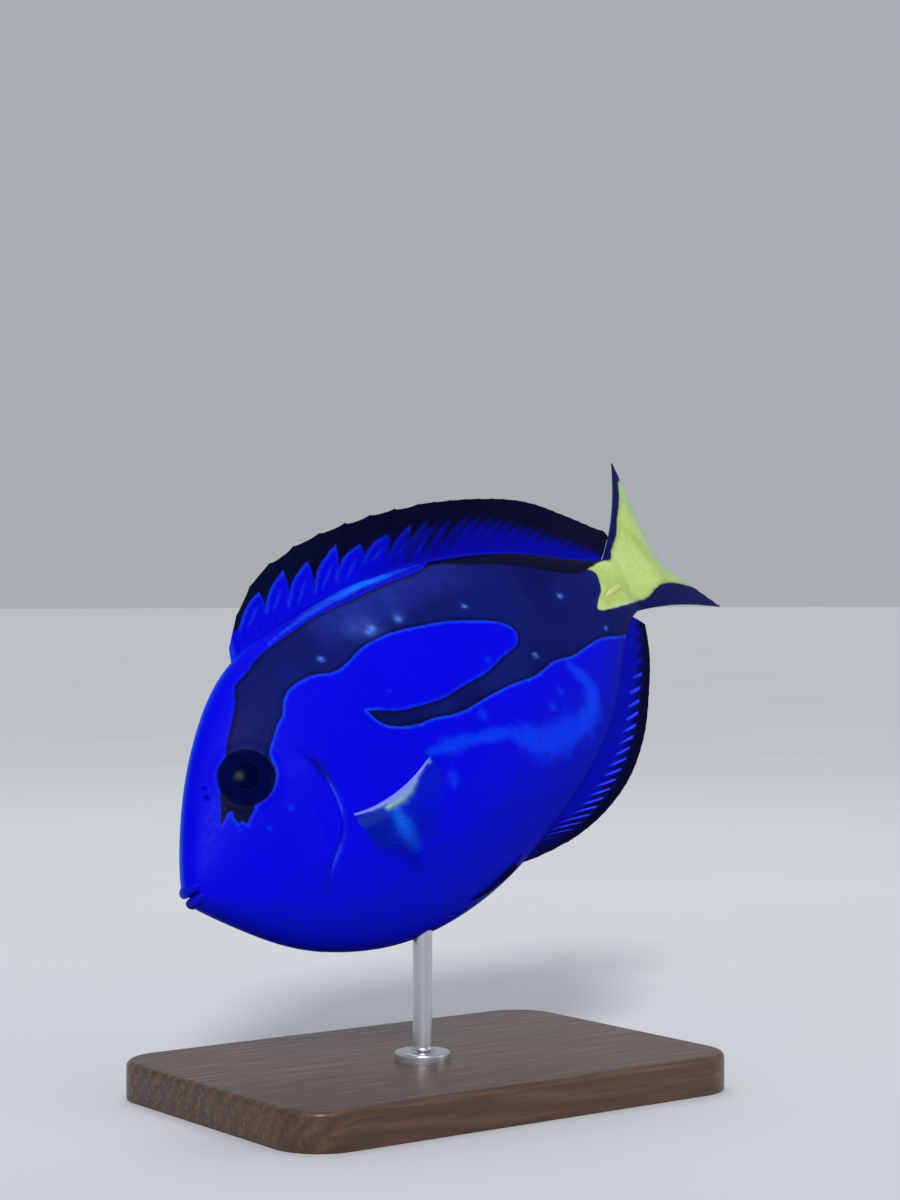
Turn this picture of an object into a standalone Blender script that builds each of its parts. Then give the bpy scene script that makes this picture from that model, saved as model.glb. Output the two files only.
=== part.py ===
"""A life-size regal blue tang on a plain display stand.

The fish is modelled straight, nose at the origin: x runs back to the tail, y to the
fish's right and z up to its back. Its rear is then bent to its right, as in a turn,
and an empty tips the whole fish nose down and banks it over the stand.
"""

import math

import bmesh
import bpy
import numpy as np
from mathutils import Matrix, Vector

# Driving dimensions of the fish, in metres and degrees. A share is a share of the
# standard length, which runs from the snout to the root of the tail fin.
STANDARD_LENGTH = 0.155
GAP = 0.0003
PITCH = 27.1
BANK = 21.2
TAIL_BEND = 25.0
BEND_START = 0.4927
BEND_SPAN = 0.55

# Driving dimensions of the stand, in metres. The rod stands under ROD_STATION, a share.
BASE_LENGTH = 0.124
BASE_WIDTH = 0.084
BASE_HEIGHT = 0.009
BASE_CORNER = 0.012
BASE_EDGE = 0.0015
BELLY_CLEARANCE = 0.026
ROD_RADIUS = 0.00225
ROD_FOOT_RADIUS = 0.0065
ROD_FOOT_HEIGHT = 0.0024
ROD_FILLET = 0.0012
ROD_STATION = 0.285
ROD_PLACE = (-0.006, -0.006)

# Outline of the body in shares: place along it, back, belly, half width, and how
# pointed its section is above and below (1 is an ellipse, more is sharper).
BODY_STATIONS = (
    (0.000, 0.000, 0.000, 0.000, 1.00, 1.00),
    (0.012, 0.029, -0.028, 0.021, 0.95, 0.95),
    (0.045, 0.077, -0.077, 0.035, 1.00, 0.90),
    (0.100, 0.142, -0.144, 0.047, 1.10, 0.85),
    (0.170, 0.204, -0.196, 0.058, 1.20, 0.80),
    (0.250, 0.250, -0.232, 0.069, 1.25, 0.80),
    (0.350, 0.268, -0.250, 0.074, 1.25, 0.85),
    (0.450, 0.268, -0.248, 0.073, 1.25, 1.00),
    (0.570, 0.254, -0.226, 0.066, 1.25, 1.20),
    (0.700, 0.216, -0.186, 0.052, 1.20, 1.25),
    (0.830, 0.160, -0.115, 0.036, 1.10, 1.15),
    (0.930, 0.104, -0.040, 0.024, 1.00, 1.00),
    (0.970, 0.088, -0.024, 0.017, 1.00, 1.00),
    (1.000, 0.082, -0.020, 0.007, 1.00, 1.00),
)
BODY_RINGS = 44
BODY_SIDES = 32

# Rear edge of the head in shares, from above the nape to below the throat. Its middle
# is the free edge of the gill cover, which stands out from the trunk.
GILL_EDGE = (
    (0.225, 0.40),
    (0.227, 0.160),
    (0.246, 0.105),
    (0.260, 0.060),
    (0.259, 0.015),
    (0.250, -0.022),
    (0.233, -0.048),
    (0.203, -0.071),
    (0.168, -0.105),
    (0.144, -0.160),
    (0.130, -0.40),
)
GILL_COVER_LIFT = 0.0006
STALK_START = 0.885

# The eye: its place in shares, the rest in metres.
EYE_PLACE = (0.164, 0.099)
EYE_RADIUS = 0.0070
EYE_DEPTH = 0.0030
EYE_PROUD = 0.0016
ORBIT_RIM = 0.0008
NOSTRILS = ((0.102, 0.106), (0.108, 0.119))
NOSTRIL_RADIUS = 0.0006

# Mouth and lips, in metres. LIP_CURVE bows both lips back to their corners.
LIP_WIDTH = 0.0034
LIP_HEIGHT = 0.0013
LIP_THICKNESS = 0.0015
LIP_SET_BACK = 0.0012
LIP_CURVE = 165.0
MOUTH_DEPTH = 0.0048
MOUTH_SLIT = 0.0004

# The folded blade on each side of the tail stalk: its front end in shares, the rest in
# metres.
BLADE_START = (0.908, 0.030)
BLADE_LENGTH = 0.0090
BLADE_RADIUS = 0.0010

# Thickness of every fin, as half values in metres: on a ray and on the membrane near
# the root, at the margin, and where the fin leaves the body.
RAY_HALF = 0.00065
MEMBRANE_HALF = 0.00028
MARGIN_HALF = 0.00025
ROOT_HALF = 0.0009
ROOT_SINK = 0.020
RIDGE_WIDTH = 0.22
SPINE_SPACING = 1.35

# Margins of the fins of the middle plane, in shares.
DORSAL_BASE = (0.262, 0.950)
DORSAL_MARGIN = (
    (0.286, 0.278),
    (0.326, 0.313),
    (0.406, 0.353),
    (0.510, 0.359),
    (0.643, 0.334),
    (0.819, 0.270),
    (0.925, 0.219),
    (0.985, 0.177),
    (1.022, 0.147),
    (1.040, 0.131),
    (1.051, 0.119),
    (1.048, 0.112),
    (1.034, 0.108),
)
ANAL_BASE = (0.500, 0.950)
ANAL_MARGIN = (
    (0.510, -0.244),
    (0.534, -0.249),
    (0.560, -0.2535),
    (0.587, -0.2565),
    (0.620, -0.2575),
    (0.653, -0.256),
    (0.690, -0.2505),
    (0.740, -0.238),
    (0.790, -0.216),
    (0.845, -0.1815),
    (0.898, -0.1375),
    (0.955, -0.085),
    (0.986, -0.046),
)
TAIL_ROOT = (0.985, 0.031)
TAIL_ROOT_HALF = 0.050
TAIL_MARGIN = (
    (1.240, 0.218),
    (1.215, 0.165),
    (1.177, 0.090),
    (1.164, 0.037),
    (1.179, 0.002),
    (1.211, -0.026),
    (1.250, -0.060),
    (1.290, -0.097),
)

# Paired fins, in shares: where each stands on the flank, the two directions of its
# plane for the left side, how it cups, and its root and margin in that plane.
PAIRED_SINK = 0.016
PECTORAL_PLACE = (0.251, -0.0445)
PECTORAL_ALONG = (0.645, -0.603, -0.470)
PECTORAL_UP = (0.30, -0.364, 0.88)
PECTORAL_CUP = 0.6
PECTORAL_BASE = ((0.0, 0.020), (0.0, 0.0), (0.0, -0.024))
PECTORAL_MARGIN = (
    (0.146, 0.106),
    (0.156, 0.076),
    (0.157, 0.034),
    (0.144, -0.004),
    (0.118, -0.036),
    (0.082, -0.054),
)
PELVIC_PLACE = (0.322, -0.020, -0.222)
PELVIC_ALONG = (1.0, -0.01, -0.045)
PELVIC_UP = (0.0, 0.30, 1.0)
PELVIC_BASE = ((-0.008, 0.006), (0.0, 0.0), (0.010, -0.008))
PELVIC_MARGIN = (
    (0.175, 0.000),
    (0.152, -0.012),
    (0.118, -0.018),
    (0.085, -0.020),
)

# How far cutters reach past the body, in metres, and past its sides, in shares.
CUTTER_REACH = 0.05
AHEAD = -0.3
BEHIND = 1.3
ABOVE = 0.4


def smooth_curve(places, values):
    """A function through the points: a natural cubic spline."""
    x = np.array(places, float)
    y = np.array(values, float)
    n = len(x)
    step = np.diff(x)
    system = np.zeros((n, n))
    right = np.zeros(n)
    system[0, 0] = system[-1, -1] = 1.0
    for i in range(1, n - 1):
        system[i, i - 1 : i + 2] = step[i - 1], 2 * (step[i - 1] + step[i]), step[i]
        right[i] = 6 * ((y[i + 1] - y[i]) / step[i] - (y[i] - y[i - 1]) / step[i - 1])
    second = np.linalg.solve(system, right)

    def at(value):
        i = int(np.clip(np.searchsorted(x, value) - 1, 0, n - 2))
        h = step[i]
        a = (x[i + 1] - value) / h
        b = (value - x[i]) / h
        bow = (a**3 - a) * second[i] + (b**3 - b) * second[i + 1]
        return float(a * y[i] + b * y[i + 1] + bow * h * h / 6)

    return at


def path_curve(points):
    """A function of 0 to 1 along a smooth path through the points."""
    points = np.array(points, float)
    run = np.concatenate([[0], np.cumsum(np.linalg.norm(np.diff(points, axis=0), axis=1))])
    run /= run[-1]
    parts = [smooth_curve(run, points[:, k]) for k in range(points.shape[1])]
    return lambda t: np.array([part(t) for part in parts])


def body_curves():
    """The outline of the body as functions of the root of the place along it."""
    rows = np.array(BODY_STATIONS)
    root = np.sqrt(rows[:, 0])
    return [smooth_curve(root, rows[:, k]) for k in range(1, 6)]


BACK, BELLY, HALF_WIDTH, TOP_POINT, BOTTOM_POINT = body_curves()


def back_at(x):
    return BACK(math.sqrt(x))


def belly_at(x):
    return BELLY(math.sqrt(x))


def flank(x, z):
    """Half width of the body at a place on its side, all as shares."""
    top, bottom = back_at(x), belly_at(x)
    rise = (z - (top + bottom) / 2) / ((top - bottom) / 2)
    point = TOP_POINT(math.sqrt(x)) if rise > 0 else BOTTOM_POINT(math.sqrt(x))
    level = max(0.0, 1 - rise * rise)
    return HALF_WIDTH(math.sqrt(x)) * level ** (point / 2)


def bend_angle(share):
    """How far the body has turned to its right at a place along it."""
    past = (share - BEND_START) / BEND_SPAN
    beyond = min(max(past - 1, 0.0), 1 / 3)
    turned = min(max(past, 0.0), 1.0) ** 2 + 2 * beyond - 3 * beyond * beyond
    return math.radians(TAIL_BEND) * turned


def bend_table():
    """Places along the straight body, and where its centre line runs once bent."""
    shares = np.linspace(-0.2, 1.5, 681)
    angles = np.array([bend_angle(s) for s in shares])
    middle = (angles[1:] + angles[:-1]) / 2
    step = (shares[1] - shares[0]) * STANDARD_LENGTH
    ahead = np.concatenate([[0], np.cumsum(np.cos(middle) * step)])
    aside = np.concatenate([[0], np.cumsum(np.sin(middle) * step)])
    return shares * STANDARD_LENGTH, ahead + shares[0] * STANDARD_LENGTH, aside, angles


BEND = bend_table()


def bent(point):
    """A point of the straight fish, moved to where the bent fish has it."""
    x, y, z = point
    ahead = np.interp(x, BEND[0], BEND[1])
    aside = np.interp(x, BEND[0], BEND[2])
    angle = np.interp(x, BEND[0], BEND[3])
    return Vector((ahead - y * math.sin(angle), aside + y * math.cos(angle), z))


def clear_scene():
    for obj in list(bpy.data.objects):
        bpy.data.objects.remove(obj, do_unlink=True)


def new_collection(name):
    made = bpy.data.collections.new(name)
    bpy.context.scene.collection.children.link(made)
    return made


def new_material(name, colour, roughness, metallic=0.0):
    material = bpy.data.materials.new(name)
    material.use_nodes = True
    shader = material.node_tree.nodes["Principled BSDF"]
    shader.inputs["Base Color"].default_value = (*colour, 1.0)
    shader.inputs["Roughness"].default_value = roughness
    shader.inputs["Metallic"].default_value = metallic
    return material


def new_object(name, data, collection):
    made = bpy.data.objects.new(name, data)
    collection.objects.link(made)
    return made


def shape_object(name, shape, collection):
    """An object from a bmesh, which is closed and used up, with its faces out."""
    bmesh.ops.recalc_face_normals(shape, faces=shape.faces[:])
    mesh = bpy.data.meshes.new(name)
    shape.to_mesh(mesh)
    shape.free()
    return new_object(name, mesh, collection)


def skin_object(name, points, faces, collection):
    """A closed object over points of the straight fish, moved with the bend."""
    shape = bmesh.new()
    corners = [shape.verts.new(bent(p)) for p in points]
    for face in faces:
        shape.faces.new([corners[i] for i in face])
    return shape_object(name, shape, collection)


def as_helper(obj):
    obj.hide_render = True
    obj.display_type = "WIRE"
    return obj


def apply_modifiers(obj):
    """Replaces the object's mesh by what its modifiers make of it."""
    graph = bpy.context.evaluated_depsgraph_get()
    mesh = bpy.data.meshes.new_from_object(obj.evaluated_get(graph))
    old = obj.data
    obj.modifiers.clear()
    obj.data = mesh
    bpy.data.meshes.remove(old)


def cut(obj, cutter):
    modifier = obj.modifiers.new(cutter.name, "BOOLEAN")
    modifier.operation = "DIFFERENCE"
    modifier.object = cutter
    modifier.solver = "EXACT"
    apply_modifiers(obj)


def unite(obj, pieces):
    """Joins closed pieces to the object with one union, and removes them."""
    gathered = new_collection(obj.name + "_pieces")
    for piece in pieces:
        for owner in list(piece.users_collection):
            owner.objects.unlink(piece)
        gathered.objects.link(piece)
    modifier = obj.modifiers.new("union", "BOOLEAN")
    modifier.operation = "UNION"
    modifier.operand_type = "COLLECTION"
    modifier.collection = gathered
    modifier.solver = "EXACT"
    apply_modifiers(obj)
    for piece in pieces:
        bpy.data.objects.remove(piece, do_unlink=True)
    bpy.data.collections.remove(gathered)


def signed_volume(faces):
    corners = [[v.co for v in face.verts] for face in faces]
    return sum(a.dot(b.cross(c)) for a, b, c in corners) / 6


def keep_largest(obj):
    """Keeps the largest closed surface of the object and drops the rest."""
    shape = bmesh.new()
    shape.from_mesh(obj.data)
    bmesh.ops.triangulate(shape, faces=shape.faces[:])
    left = set(shape.faces)
    surfaces = []
    while left:
        surface, front = set(), [left.pop()]
        while front:
            face = front.pop()
            surface.add(face)
            joined = {other for side in face.edges for other in side.link_faces} & left
            left -= joined
            front.extend(joined)
        surfaces.append(surface)
    largest = max(surfaces, key=lambda s: abs(signed_volume(s)))
    loose = [face for surface in surfaces if surface is not largest for face in surface]
    bmesh.ops.delete(shape, geom=loose, context="FACES")
    shape.to_mesh(obj.data)
    shape.free()


def cover_rise(share, height):
    """How far the gill cover stands out, from 0 in front to 1 at its edge."""
    places, heights = zip(*reversed(GILL_EDGE[1:9]))
    edge = np.interp(height, heights, places)
    inside = np.clip((height - heights[0]) / 0.03, 0, 1)
    inside *= np.clip((heights[-1] - height) / 0.05, 0, 1)
    return float(inside * np.clip(1 - (edge - share) / 0.05, 0, 1))


def body_ring(share, grow, lift):
    """One section of the body, from the back down its left side and up its right."""
    root = math.sqrt(share)
    top = BACK(root) * STANDARD_LENGTH + grow
    bottom = BELLY(root) * STANDARD_LENGTH - grow
    wide = HALF_WIDTH(root) * STANDARD_LENGTH + grow
    middle, half = (top + bottom) / 2, (top - bottom) / 2
    ring = []
    for i in range(BODY_SIDES):
        angle = math.pi / 2 - 2 * math.pi * i / BODY_SIDES
        point = TOP_POINT(root) if math.sin(angle) > 0 else BOTTOM_POINT(root)
        level = abs(math.cos(angle)) ** point
        side = -1 if i < BODY_SIDES / 2 else 1
        z = middle + half * math.sin(angle)
        raised = lift * cover_rise(share, z / STANDARD_LENGTH)
        ring.append((share * STANDARD_LENGTH, side * (wide + raised) * level, z))
    return ring


def body_loft(name, collection, grow=0.0, lift=0.0):
    """The whole body, from the snout to the root of the tail fin."""
    steps = [((i + 1) / BODY_RINGS) ** 1.5 for i in range(BODY_RINGS)]
    steps = [0.3 * steps[0]] + steps
    rings = [body_ring(share, grow, lift) for share in steps]
    rings[0] = [(x - grow, y, z) for x, y, z in rings[0]]
    rings[-1] = [(x + grow, y, z) for x, y, z in rings[-1]]
    points = [p for ring in rings for p in ring]
    points += [tuple(np.mean(ring, axis=0)) for ring in (rings[0], rings[-1])]
    faces = []
    for start in range(0, BODY_SIDES * BODY_RINGS, BODY_SIDES):
        for i in range(BODY_SIDES):
            a, b = start + i, start + (i + 1) % BODY_SIDES
            c, d = b + BODY_SIDES, a + BODY_SIDES
            left = i < BODY_SIDES / 2
            faces += [(a, b, c), (a, c, d)] if left else [(a, b, d), (b, c, d)]
    snout, root = len(points) - 2, len(points) - 1
    end = BODY_SIDES * BODY_RINGS
    for i in range(BODY_SIDES):
        j = (i + 1) % BODY_SIDES
        faces += [(snout, j, i), (root, end + i, end + j)]
    return skin_object(name, points, faces, collection)


def prism(name, outline, collection):
    """A cutter right across the fish over an outline of its side view, in shares."""
    shape = bmesh.new()
    near = [(x * STANDARD_LENGTH, -CUTTER_REACH, z * STANDARD_LENGTH) for x, z in outline]
    face = shape.faces.new([shape.verts.new(p) for p in near])
    grown = bmesh.ops.extrude_face_region(shape, geom=[face])["geom"]
    moved = [v for v in grown if isinstance(v, bmesh.types.BMVert)]
    bmesh.ops.translate(shape, vec=(0, 2 * CUTTER_REACH, 0), verts=moved)
    for vertex in shape.verts:
        vertex.co = bent(vertex.co)
    return as_helper(shape_object(name, shape, collection))


def gill_path(offset):
    """The rear edge of the head, moved back by an offset, as shares."""
    curve = path_curve(GILL_EDGE)
    return [curve(t) + (offset, 0) for t in np.linspace(0, 1, 73)]


def ellipsoid(name, centre, radii, turn, collection, segments=24, rings=10):
    """A closed ellipsoid at a point of the bent fish."""
    shape = bmesh.new()
    bmesh.ops.create_uvsphere(shape, u_segments=segments, v_segments=rings, radius=1.0)
    place = Matrix.Translation(centre) @ turn @ Matrix.Diagonal((*radii, 1.0))
    bmesh.ops.transform(shape, matrix=place, verts=shape.verts[:])
    return shape_object(name, shape, collection)


def tube(name, centres, radii, collection, closed=False, smoothness=2):
    """A round tube along a line of centres, closed on itself or with filled ends."""
    curve = bpy.data.curves.new(name, "CURVE")
    curve.dimensions = "3D"
    curve.bevel_depth = max(radii)
    curve.bevel_resolution = smoothness
    curve.use_fill_caps = not closed
    line = curve.splines.new("POLY")
    line.points.add(len(centres) - 1)
    for point, centre, radius in zip(line.points, centres, radii):
        point.co = (*centre, 1.0)
        point.radius = radius / curve.bevel_depth
    line.use_cyclic_u = closed
    source = new_object(name, curve, collection)
    graph = bpy.context.evaluated_depsgraph_get()
    mesh = bpy.data.meshes.new_from_object(source.evaluated_get(graph))
    bpy.data.objects.remove(source, do_unlink=True)
    shape = bmesh.new()
    shape.from_mesh(mesh)
    bmesh.ops.remove_doubles(shape, verts=shape.verts[:], dist=0.000001)
    bpy.data.meshes.remove(mesh)
    return shape_object(name, shape, collection)


def eye_frame(side):
    """An eye's place on the flank and the way it looks, side -1 left or 1 right."""
    x, z = EYE_PLACE
    step = 0.03
    slope_x = (flank(x + step, z) - flank(x - step, z)) / (2 * step)
    slope_z = (flank(x, z + step) - flank(x, z - step)) / (2 * step)
    out = Vector((-slope_x, side, -slope_z)).normalized()
    return Vector((x, side * flank(x, z), z)) * STANDARD_LENGTH, out


def make_eye(name, side, collection, grow=0.0):
    place, out = eye_frame(side)
    centre = place + out * (EYE_PROUD - EYE_DEPTH)
    turn = out.to_track_quat("Z", "Y").to_matrix().to_4x4()
    radii = (EYE_RADIUS + grow, EYE_RADIUS + grow, EYE_DEPTH + grow)
    return ellipsoid(name, centre, radii, turn, collection)


def make_orbit_rim(side, collection):
    """The low ring of skin round an eye, where the eye comes out of the flank."""
    place, out = eye_frame(side)
    across = out.cross(Vector((0, 0, 1))).normalized()
    up = across.cross(out)
    centres = []
    for i in range(28):
        angle = 2 * math.pi * i / 28
        ahead = across * math.cos(angle) + up * math.sin(angle)
        for reach in np.linspace(0.5, 1, 21):
            height = EYE_DEPTH * math.sqrt(1 - reach * reach) + EYE_PROUD - EYE_DEPTH
            point = place + ahead * (EYE_RADIUS * reach) + out * height
            wide = flank(point.x / STANDARD_LENGTH, point.z / STANDARD_LENGTH)
            if abs(point.y) < wide * STANDARD_LENGTH:
                break
        centres.append(point + ahead * (0.4 * ORBIT_RIM))
    return tube(f"rim_{side}", centres, [ORBIT_RIM] * 28, collection, closed=True)


def make_lip(name, side, collection):
    """The upper lip for side 1, the lower for side -1: a pad tapered to both corners."""
    centres, radii = [], []
    for share in np.linspace(-1, 1, 11):
        y = LIP_WIDTH * share
        centres.append((LIP_SET_BACK + LIP_CURVE * y * y, y, side * LIP_HEIGHT))
        radii.append(LIP_THICKNESS * math.sqrt(1.12 - share * share))
    return tube(name, centres, radii, collection, smoothness=4)


def cut_nostrils(head, side, cutters):
    for k, (x, z) in enumerate(NOSTRILS):
        place = Vector((x, side * flank(x, z), z)) * STANDARD_LENGTH
        radii = (NOSTRIL_RADIUS, NOSTRIL_RADIUS, NOSTRIL_RADIUS)
        pit = ellipsoid(f"nostril_{side}_{k}", place, radii, Matrix(), cutters, 10, 6)
        cut(head, as_helper(pit))


def make_head(collection, cutters):
    head = body_loft("head", collection, lift=GILL_COVER_LIFT)
    behind = gill_path(-GAP / 2 / STANDARD_LENGTH) + [(BEHIND, -ABOVE), (BEHIND, ABOVE)]
    cut(head, prism("behind_gills", behind, cutters))
    pieces = [make_lip("upper_lip", 1, cutters), make_lip("lower_lip", -1, cutters)]
    pieces += [make_orbit_rim(side, cutters) for side in (-1, 1)]
    unite(head, pieces)
    for side in (-1, 1):
        cut(head, as_helper(make_eye(f"socket_{side}", side, cutters, GAP)))
        cut_nostrils(head, side, cutters)
    radii = (MOUTH_DEPTH, LIP_WIDTH + MOUTH_SLIT, MOUTH_SLIT)
    slit = ellipsoid("mouth_slit", Vector((0, 0, 0)), radii, Matrix(), cutters, 20, 8)
    cut(head, as_helper(slit))
    keep_largest(head)
    return head


def make_trunk(collection, cutters):
    trunk = body_loft("trunk", collection)
    front = gill_path(GAP / 2 / STANDARD_LENGTH) + [(AHEAD, -ABOVE), (AHEAD, ABOVE)]
    cut(trunk, prism("before_gills", front, cutters))
    end = STALK_START - GAP / 2 / STANDARD_LENGTH
    rear = [(end, ABOVE), (end, -ABOVE), (BEHIND, -ABOVE), (BEHIND, ABOVE)]
    cut(trunk, prism("behind_trunk", rear, cutters))
    keep_largest(trunk)
    return trunk


def make_blade(side, collection):
    """The folded blade on one side of the stalk, pointing forward, root at its rear."""
    x, z = BLADE_START
    centres, radii = [], []
    for share in np.linspace(0, 1, 7):
        along = x + share * BLADE_LENGTH / STANDARD_LENGTH
        place = Vector((along, side * flank(along, z), z)) * STANDARD_LENGTH
        centres.append(bent(place))
        radii.append(BLADE_RADIUS * math.sin(math.pi * (0.06 + 0.72 * share)))
    return tube(f"blade_{side}", centres, radii, collection)


def make_tail_stalk(collection, cutters):
    stalk = body_loft("tail_stalk", collection)
    start = STALK_START + GAP / 2 / STANDARD_LENGTH
    front = [(start, ABOVE), (AHEAD, ABOVE), (AHEAD, -ABOVE), (start, -ABOVE)]
    cut(stalk, prism("before_stalk", front, cutters))
    unite(stalk, [make_blade(side, cutters) for side in (-1, 1)])
    keep_largest(stalk)
    return stalk


def unit(vector):
    vector = np.array(vector, float)
    return vector / np.linalg.norm(vector)


def ray_point(root, tip, lead, share):
    """A point along a fin ray, which leaves its root along lead and ends at its tip."""
    middle = root + lead * 0.5 * np.linalg.norm(tip - root)
    return (1 - share) ** 2 * root + 2 * share * (1 - share) * middle + share**2 * tip


def fin_columns(rays, spines, notch):
    """Columns of points over a fin: (place along it, whether on a ray, how far its
    edge is drawn in). Spines in front stand wider apart and have deeper notches."""
    pitch = [SPINE_SPACING if i < spines else 1.0 for i in range(rays - 1)]
    places = np.concatenate([[0], np.cumsum(pitch)]) / sum(pitch)
    columns = []
    for i in range(rays):
        columns.append((places[i], True, 0.0))
        if i < rays - 1:
            depth = notch if i < spines else notch / 3
            gap = places[i + 1] - places[i]
            columns.append((places[i] + RIDGE_WIDTH * gap, False, depth))
            columns.append((places[i + 1] - RIDGE_WIDTH * gap, False, depth))
    return columns


def fin_half(on_ray, share):
    """Half thickness of a fin from its root, share 0, to its margin, share 1."""
    near = RAY_HALF if on_ray else MEMBRANE_HALF
    root = ROOT_HALF * (1 - 5 * share)
    return max(near * (1 - share) + MARGIN_HALF * share, root)


def sheet_faces(columns, rows):
    """Triangles of two like sheets, split alike, and of the rim between them."""
    faces = []
    back = columns * rows
    for c in range(columns - 1):
        for r in range(rows - 1):
            a, b = c * rows + r, (c + 1) * rows + r
            faces += [(a, b, b + 1), (a, b + 1, a + 1)]
            faces += [(back + a, back + b + 1, back + b), (back + a, back + a + 1, back + b + 1)]
    rim = [c * rows for c in range(columns)]
    rim += [(columns - 1) * rows + r for r in range(1, rows)]
    rim += [c * rows + rows - 1 for c in range(columns - 2, -1, -1)]
    rim += list(range(rows - 2, 0, -1))
    for a, b in zip(rim, rim[1:] + rim[:1]):
        faces += [(a, back + a, back + b), (a, back + b, b)]
    return faces


def make_fin(name, base, margin, leads, columns, rows, place, collection, body):
    """A fin of raised rays and thin membrane, with its root cut clear of the body.

    base and margin are curves in the fin's own plane, leads the directions of its
    first and last ray there, and place maps that plane into the straight fish."""
    points = []
    for side in (-1, 1):
        for s, on_ray, notch in columns:
            lead = unit((1 - s) * unit(leads[0]) + s * unit(leads[1]))
            for r in range(rows + 1):
                share = r / rows
                spot = ray_point(base(s), margin(s), lead, share * (1 - notch))
                points.append(place(spot, side * fin_half(on_ray, share), s, share))
    fin = skin_object(name, points, sheet_faces(len(columns), rows + 1), collection)
    cut(fin, body)
    keep_largest(fin)
    return fin


def in_midplane(wave):
    """Places a fin of the middle plane, with a gentle wave growing to its margin."""

    def place(spot, across, s, share):
        sway = wave * share * math.sin(2 * math.pi * (1.4 * s + 0.1))
        return (spot[0] * STANDARD_LENGTH, across + sway, spot[1] * STANDARD_LENGTH)

    return place


def in_side_plane(origin, along, up, side, cup):
    """Places a paired fin: its plane stands at origin, along and up, and it cups."""
    along = Vector(along).normalized()
    up = Vector(up)
    up = (up - up.dot(along) * along).normalized()
    out = along.cross(up)

    def place(spot, across, s, share):
        depth = cup * spot[0] * spot[0]
        point = Vector(origin) + along * spot[0] + up * spot[1] + out * depth
        point = point * STANDARD_LENGTH + out * across
        return (point.x, point.y * -side, point.z)

    return place


def make_dorsal_fin(collection, body):
    base = path_curve([(x, back_at(x) - ROOT_SINK) for x in np.linspace(*DORSAL_BASE, 9)])
    leads = ((0.25, 1.0), (0.75, 0.45))
    columns = fin_columns(28, 9, 0.045)
    margin = path_curve(DORSAL_MARGIN)
    place = in_midplane(0.0015)
    return make_fin("dorsal_fin", base, margin, leads, columns, 5, place, collection, body)


def make_anal_fin(collection, body):
    base = path_curve([(x, belly_at(x) + ROOT_SINK) for x in np.linspace(*ANAL_BASE, 8)])
    leads = ((0.4, -1.0), (0.85, -0.25))
    columns = fin_columns(21, 3, 0.045)
    margin = path_curve(ANAL_MARGIN)
    place = in_midplane(0.0)
    return make_fin("anal_fin", base, margin, leads, columns, 5, place, collection, body)


def make_tail_fin(collection, body):
    x, z = TAIL_ROOT
    base = path_curve([(x, z + TAIL_ROOT_HALF * k) for k in (1, 0.5, 0, -0.5, -1)])
    leads = ((1.0, 0.45), (1.0, -0.20))
    columns = fin_columns(17, 0, 0.03)
    margin = path_curve(TAIL_MARGIN)
    place = in_midplane(0.0)
    return make_fin("tail_fin", base, margin, leads, columns, 6, place, collection, body)


def make_pectoral(name, side, collection, body):
    x, z = PECTORAL_PLACE
    origin = (x, PAIRED_SINK - flank(x, z), z)
    place = in_side_plane(origin, PECTORAL_ALONG, PECTORAL_UP, side, PECTORAL_CUP)
    leads = ((1.0, 0.25), (1.0, -0.55))
    columns = fin_columns(15, 0, 0.03)
    base, margin = path_curve(PECTORAL_BASE), path_curve(PECTORAL_MARGIN)
    return make_fin(name, base, margin, leads, columns, 5, place, collection, body)


def make_pelvic(name, side, collection, body):
    place = in_side_plane(PELVIC_PLACE, PELVIC_ALONG, PELVIC_UP, side, 0.0)
    leads = ((1.0, -0.10), (1.0, -0.25))
    columns = fin_columns(5, 1, 0.05)
    base, margin = path_curve(PELVIC_BASE), path_curve(PELVIC_MARGIN)
    return make_fin(name, base, margin, leads, columns, 6, place, collection, body)


def make_base(collection):
    """The flat plate that the fish stands over."""
    shape = bmesh.new()
    bmesh.ops.create_cube(shape, size=1.0)
    size = Matrix.Diagonal((BASE_LENGTH, BASE_WIDTH, BASE_HEIGHT, 1.0))
    rise = Matrix.Translation((0, 0, BASE_HEIGHT / 2))
    bmesh.ops.transform(shape, matrix=rise @ size, verts=shape.verts[:])
    upright = [e for e in shape.edges if abs(e.verts[0].co.z - e.verts[1].co.z) > BASE_HEIGHT / 2]
    bmesh.ops.bevel(
        shape, geom=upright, offset=BASE_CORNER, segments=6, profile=0.5, affect="EDGES"
    )
    top = [e for e in shape.edges if min(v.co.z for v in e.verts) > BASE_HEIGHT * 0.99]
    bmesh.ops.bevel(shape, geom=top, offset=BASE_EDGE, segments=3, profile=0.5, affect="EDGES")
    return shape_object("stand_base", shape, collection)


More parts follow.
